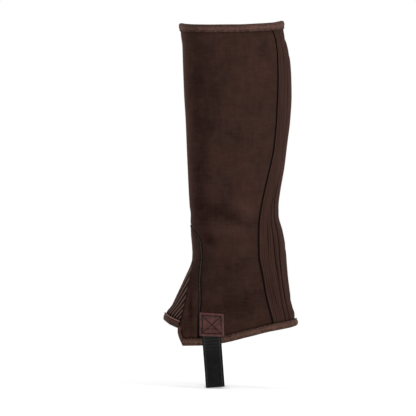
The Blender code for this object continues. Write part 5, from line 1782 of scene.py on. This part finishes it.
PLATE_LOW, PLATE_HIGH = 0.0001, 0.0012  # of the slider's upper plate, out from the skin
TAPE_BACK = TAPE_OUT - TAPE
BRIDGE_WIDTH = 0.0024
slider_frame = zip_frame(SLIDER_HEIGHT)
shield = [
    # x and y of the slider's plates, wide at their shoulders and narrow at their tail
    (-0.0022, -0.0060), (0.0022, -0.0060), (0.0033, -0.0054), (0.0037, -0.0020), (0.0043, 0.0016),
    (0.0043, 0.0042), (0.0036, 0.0055), (0.0018, 0.0060), (0.0006, 0.0056), (0.0, 0.0052),
    (-0.0006, 0.0056), (-0.0018, 0.0060), (-0.0036, 0.0055), (-0.0043, 0.0042), (-0.0043, 0.0016),
    (-0.0037, -0.0020), (-0.0033, -0.0054),
]
wedge = [(-0.0007, 0.0030), (0.0007, 0.0030), (0.0009, 0.0052), (-0.0009, 0.0052)]
flange = [
    (0.0034, -0.0052), (0.0040, 0.0020), (0.0040, 0.0044), (0.0034, 0.0044), (0.0033, 0.0018),
    (0.0028, -0.0050),
]
bridge = [
    # its outer arch and back along its inner one, as x and the height over the plate
    (math.copysign(abs(math.cos(a)) ** 0.6, math.cos(a)) * length,
     max(math.sin(a), 0.0) ** 0.6 * rise + PLATE_HIGH)
    for length, rise, run in ((0.0036, 0.0034, 1), (0.0025, 0.0023, -1))
    for a in np.linspace(0, np.pi, 17)[::run]
]
upright = Matrix(((0, 0, 1, 0), (1, 0, 0, 0), (0, 1, 0, -0.0003), (0, 0, 0, 1)))
work = bmesh.new()
plate(work, shield, PLATE_LOW, PLATE_HIGH)
plate(work, shield, TAPE_BACK - 0.0018, TAPE_BACK - 0.0010)
plate(work, wedge, TAPE_BACK - 0.0012, PLATE_LOW + 0.0003)
for side in (-1, 1):
    plate(work, [(side * x, y) for x, y in flange][::side], TAPE_OUT + 0.0009, PLATE_LOW + 0.0003)
plate(work, bridge, -BRIDGE_WIDTH / 2, BRIDGE_WIDTH / 2, upright)
slider = finish_metal("zip_slider_metal", work, slider_frame, 0.00022)
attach(slider, "chap")
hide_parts("zip_slider")

# The pull tab: a crossbar under the bridge, two cheeks, and a waisted grip with a hole and ribs.
TAB_AXIS_HEIGHT = 0.00115
TAB_HALF = 0.0006          # of its thickness
RIB_HALF, RIB_RISE = 0.00025, 0.00025
outer_half = [
    (0.0034, 0.0006), (0.0034, -0.0044), (0.0026, -0.0070), (0.0024, -0.0100), (0.0031, -0.0140),
    (0.0034, -0.0200), (0.0034, -0.0236), (0.0026, -0.0254), (0.0012, -0.0260),
]
window_half = [(0.00155, -0.0006), (0.00155, -0.0044), (0.0010, -0.0048)]
tab_loops = [half + [(-x, y) for x, y in half[::-1]] for half in (outer_half, window_half)]
tab_loops.append([
    (0.0011 * math.cos(a), -0.0226 + 0.0011 * math.sin(a)) for a in np.linspace(0, 2 * np.pi, 13)[:-1]
])
work = bmesh.new()
levels = []
for z in (-TAB_HALF, TAB_HALF):
    level, edges = [], []
    for loop in tab_loops:
        verts = [work.verts.new((x, y, z)) for x, y in loop]
        edges += [work.edges.new((a, b)) for a, b in zip(verts, verts[1:] + verts[:1])]
        level.append(verts)
    bmesh.ops.triangle_fill(work, edges=edges, use_beauty=True)
    levels.append(level)
for below, above in zip(*levels):
    for i in range(len(below)):
        j = (i + 1) % len(below)
        work.faces.new((below[i], below[j], above[j], above[i]))
for k in range(4):
    y = -0.0135 - 0.0014 * k
    rib = oblong(0.0021, y - RIB_HALF, y + RIB_HALF)
    plate(work, rib, TAB_HALF - 0.0001, TAB_HALF + RIB_RISE)
    plate(work, rib, -TAB_HALF - RIB_RISE - 0.0001, -TAB_HALF)
tab_frame = slider_frame @ Matrix.Translation((0, 0, PLATE_HIGH + TAB_AXIS_HEIGHT))
pull_tab = finish_metal("zip_pull_tab_metal", work, tab_frame, 0.00016)
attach(pull_tab, "pull_tab")
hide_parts("zip_pull_tab")

# The retainer box, with a slot across its face.
box_low, box_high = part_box("zip_box")
body = [
    (-0.0037, -0.0036), (0.0037, -0.0036), (0.0043, -0.0028), (0.0043, 0.0028), (0.0037, 0.0036),
    (-0.0037, 0.0036), (-0.0043, 0.0028), (-0.0043, -0.0028),
]
work = bmesh.new()
plate(work, body, TAPE_BACK, -0.0007)
plate(work, oblong(0.0026, -0.0010, 0.0010), -0.0008, -0.0005)
zip_box = finish_metal("zip_box_metal", work, zip_frame((box_low[2] + box_high[2]) / 2), 0.00025)
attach(zip_box, "chap")
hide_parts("zip_box")

# ---------------------------------------------------------------------------
# Studio
# A pale floor where the wearer would stand, a white room, soft lamps and a long level lens that
# looks straight at the near side.
# ---------------------------------------------------------------------------

PHOTO_PIXELS = 416
PIXEL = 0.00126            # metres of the photographed plane for each pixel
ORIGIN = (234, 210)        # the pixel of the photograph where x and z are 0
LENS_SENSOR = 36.0
FLOOR = -0.2228
FLOOR_SIZE = 8
FLOOR_FADE = (0.35, 1.60)  # metres from the middle between which the floor turns into white light
DISTANCE = 4.0

scene = bpy.context.scene
scene.view_settings.view_transform = "Standard"
scene.view_settings.look = "None"


def grey(level):
    return (level, level, level, 1.0)


floor_mesh = bpy.data.meshes.new("floor")
floor_mesh.from_pydata(
    [(x * FLOOR_SIZE, y * FLOOR_SIZE, FLOOR) for x, y in ((-1, -1), (1, -1), (1, 1), (-1, 1))],
    [], [(0, 1, 2, 3)],
)
floor = add_object("floor", floor_mesh)
floor_paint, shader, tree = new_material("floor_paint")
around = node(tree, "ShaderNodeVectorMath", (0, coordinate(tree)), operation="LENGTH").outputs["Value"]
away = spread(tree, around, *FLOOR_FADE)
feed(tree, shader, ("Base Color", blend(tree, away, grey(0.9), grey(0.0))), ("Roughness", 0.9),
     ("Specular IOR Level", 0.0), ("Emission Color", blend(tree, away, grey(0.38), grey(1.0))),
     ("Emission Strength", 1.0))
floor_mesh.materials.append(floor_paint)
floor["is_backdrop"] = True

# The room is white round the horizon, like a studio's curved backdrop, and dimmer overhead.
room = bpy.data.worlds.new("room")
room.use_nodes = True
tree = room.node_tree
glow = spread(tree, part_of(tree, coordinate(tree, "Generated"), "Z"), 0.10, 0.45, 1.0, 0.45)
white = node(tree, "ShaderNodeCombineXYZ", ("X", glow), ("Y", glow), ("Z", glow)).outputs[0]
feed(tree, tree.nodes["Background"], ("Color", white))
scene.world = room

Lamp = namedtuple("Lamp", "name place size watts")
for lamp in (
    Lamp("key", (2.0, -2.3, 1.7), 1.2, 42),
    Lamp("fill", (-2.4, -1.8, 0.8), 1.6, 8),
    Lamp("back_left", (-2.0, 1.6, 1.2), 1.0, 22),
    Lamp("back_right", (2.2, 2.0, 1.2), 1.0, 16),
):
    data = bpy.data.lights.new(lamp.name, "AREA")
    data.size = lamp.size
    data.energy = lamp.watts
    item = add_object(lamp.name, data)
    item.location = lamp.place
    item.rotation_euler = (-Vector(lamp.place)).to_track_quat("-Z", "Y").to_euler()

camera_data = bpy.data.cameras.new("camera")
camera_data.sensor_width = LENS_SENSOR
camera_data.lens = LENS_SENSOR * DISTANCE / (PHOTO_PIXELS * PIXEL)
camera_data.clip_start, camera_data.clip_end = 0.1, 40.0
camera = add_object("camera", camera_data)
camera.location = ((PHOTO_PIXELS / 2 - ORIGIN[0]) * PIXEL, -DISTANCE, (ORIGIN[1] - PHOTO_PIXELS / 2) * PIXEL)
camera.rotation_euler = (math.pi / 2, 0, 0)
scene.camera = camera

low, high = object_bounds()
{"cad": [list(cad_low), list(cad_high)], "visual": [list(low), list(high)]}
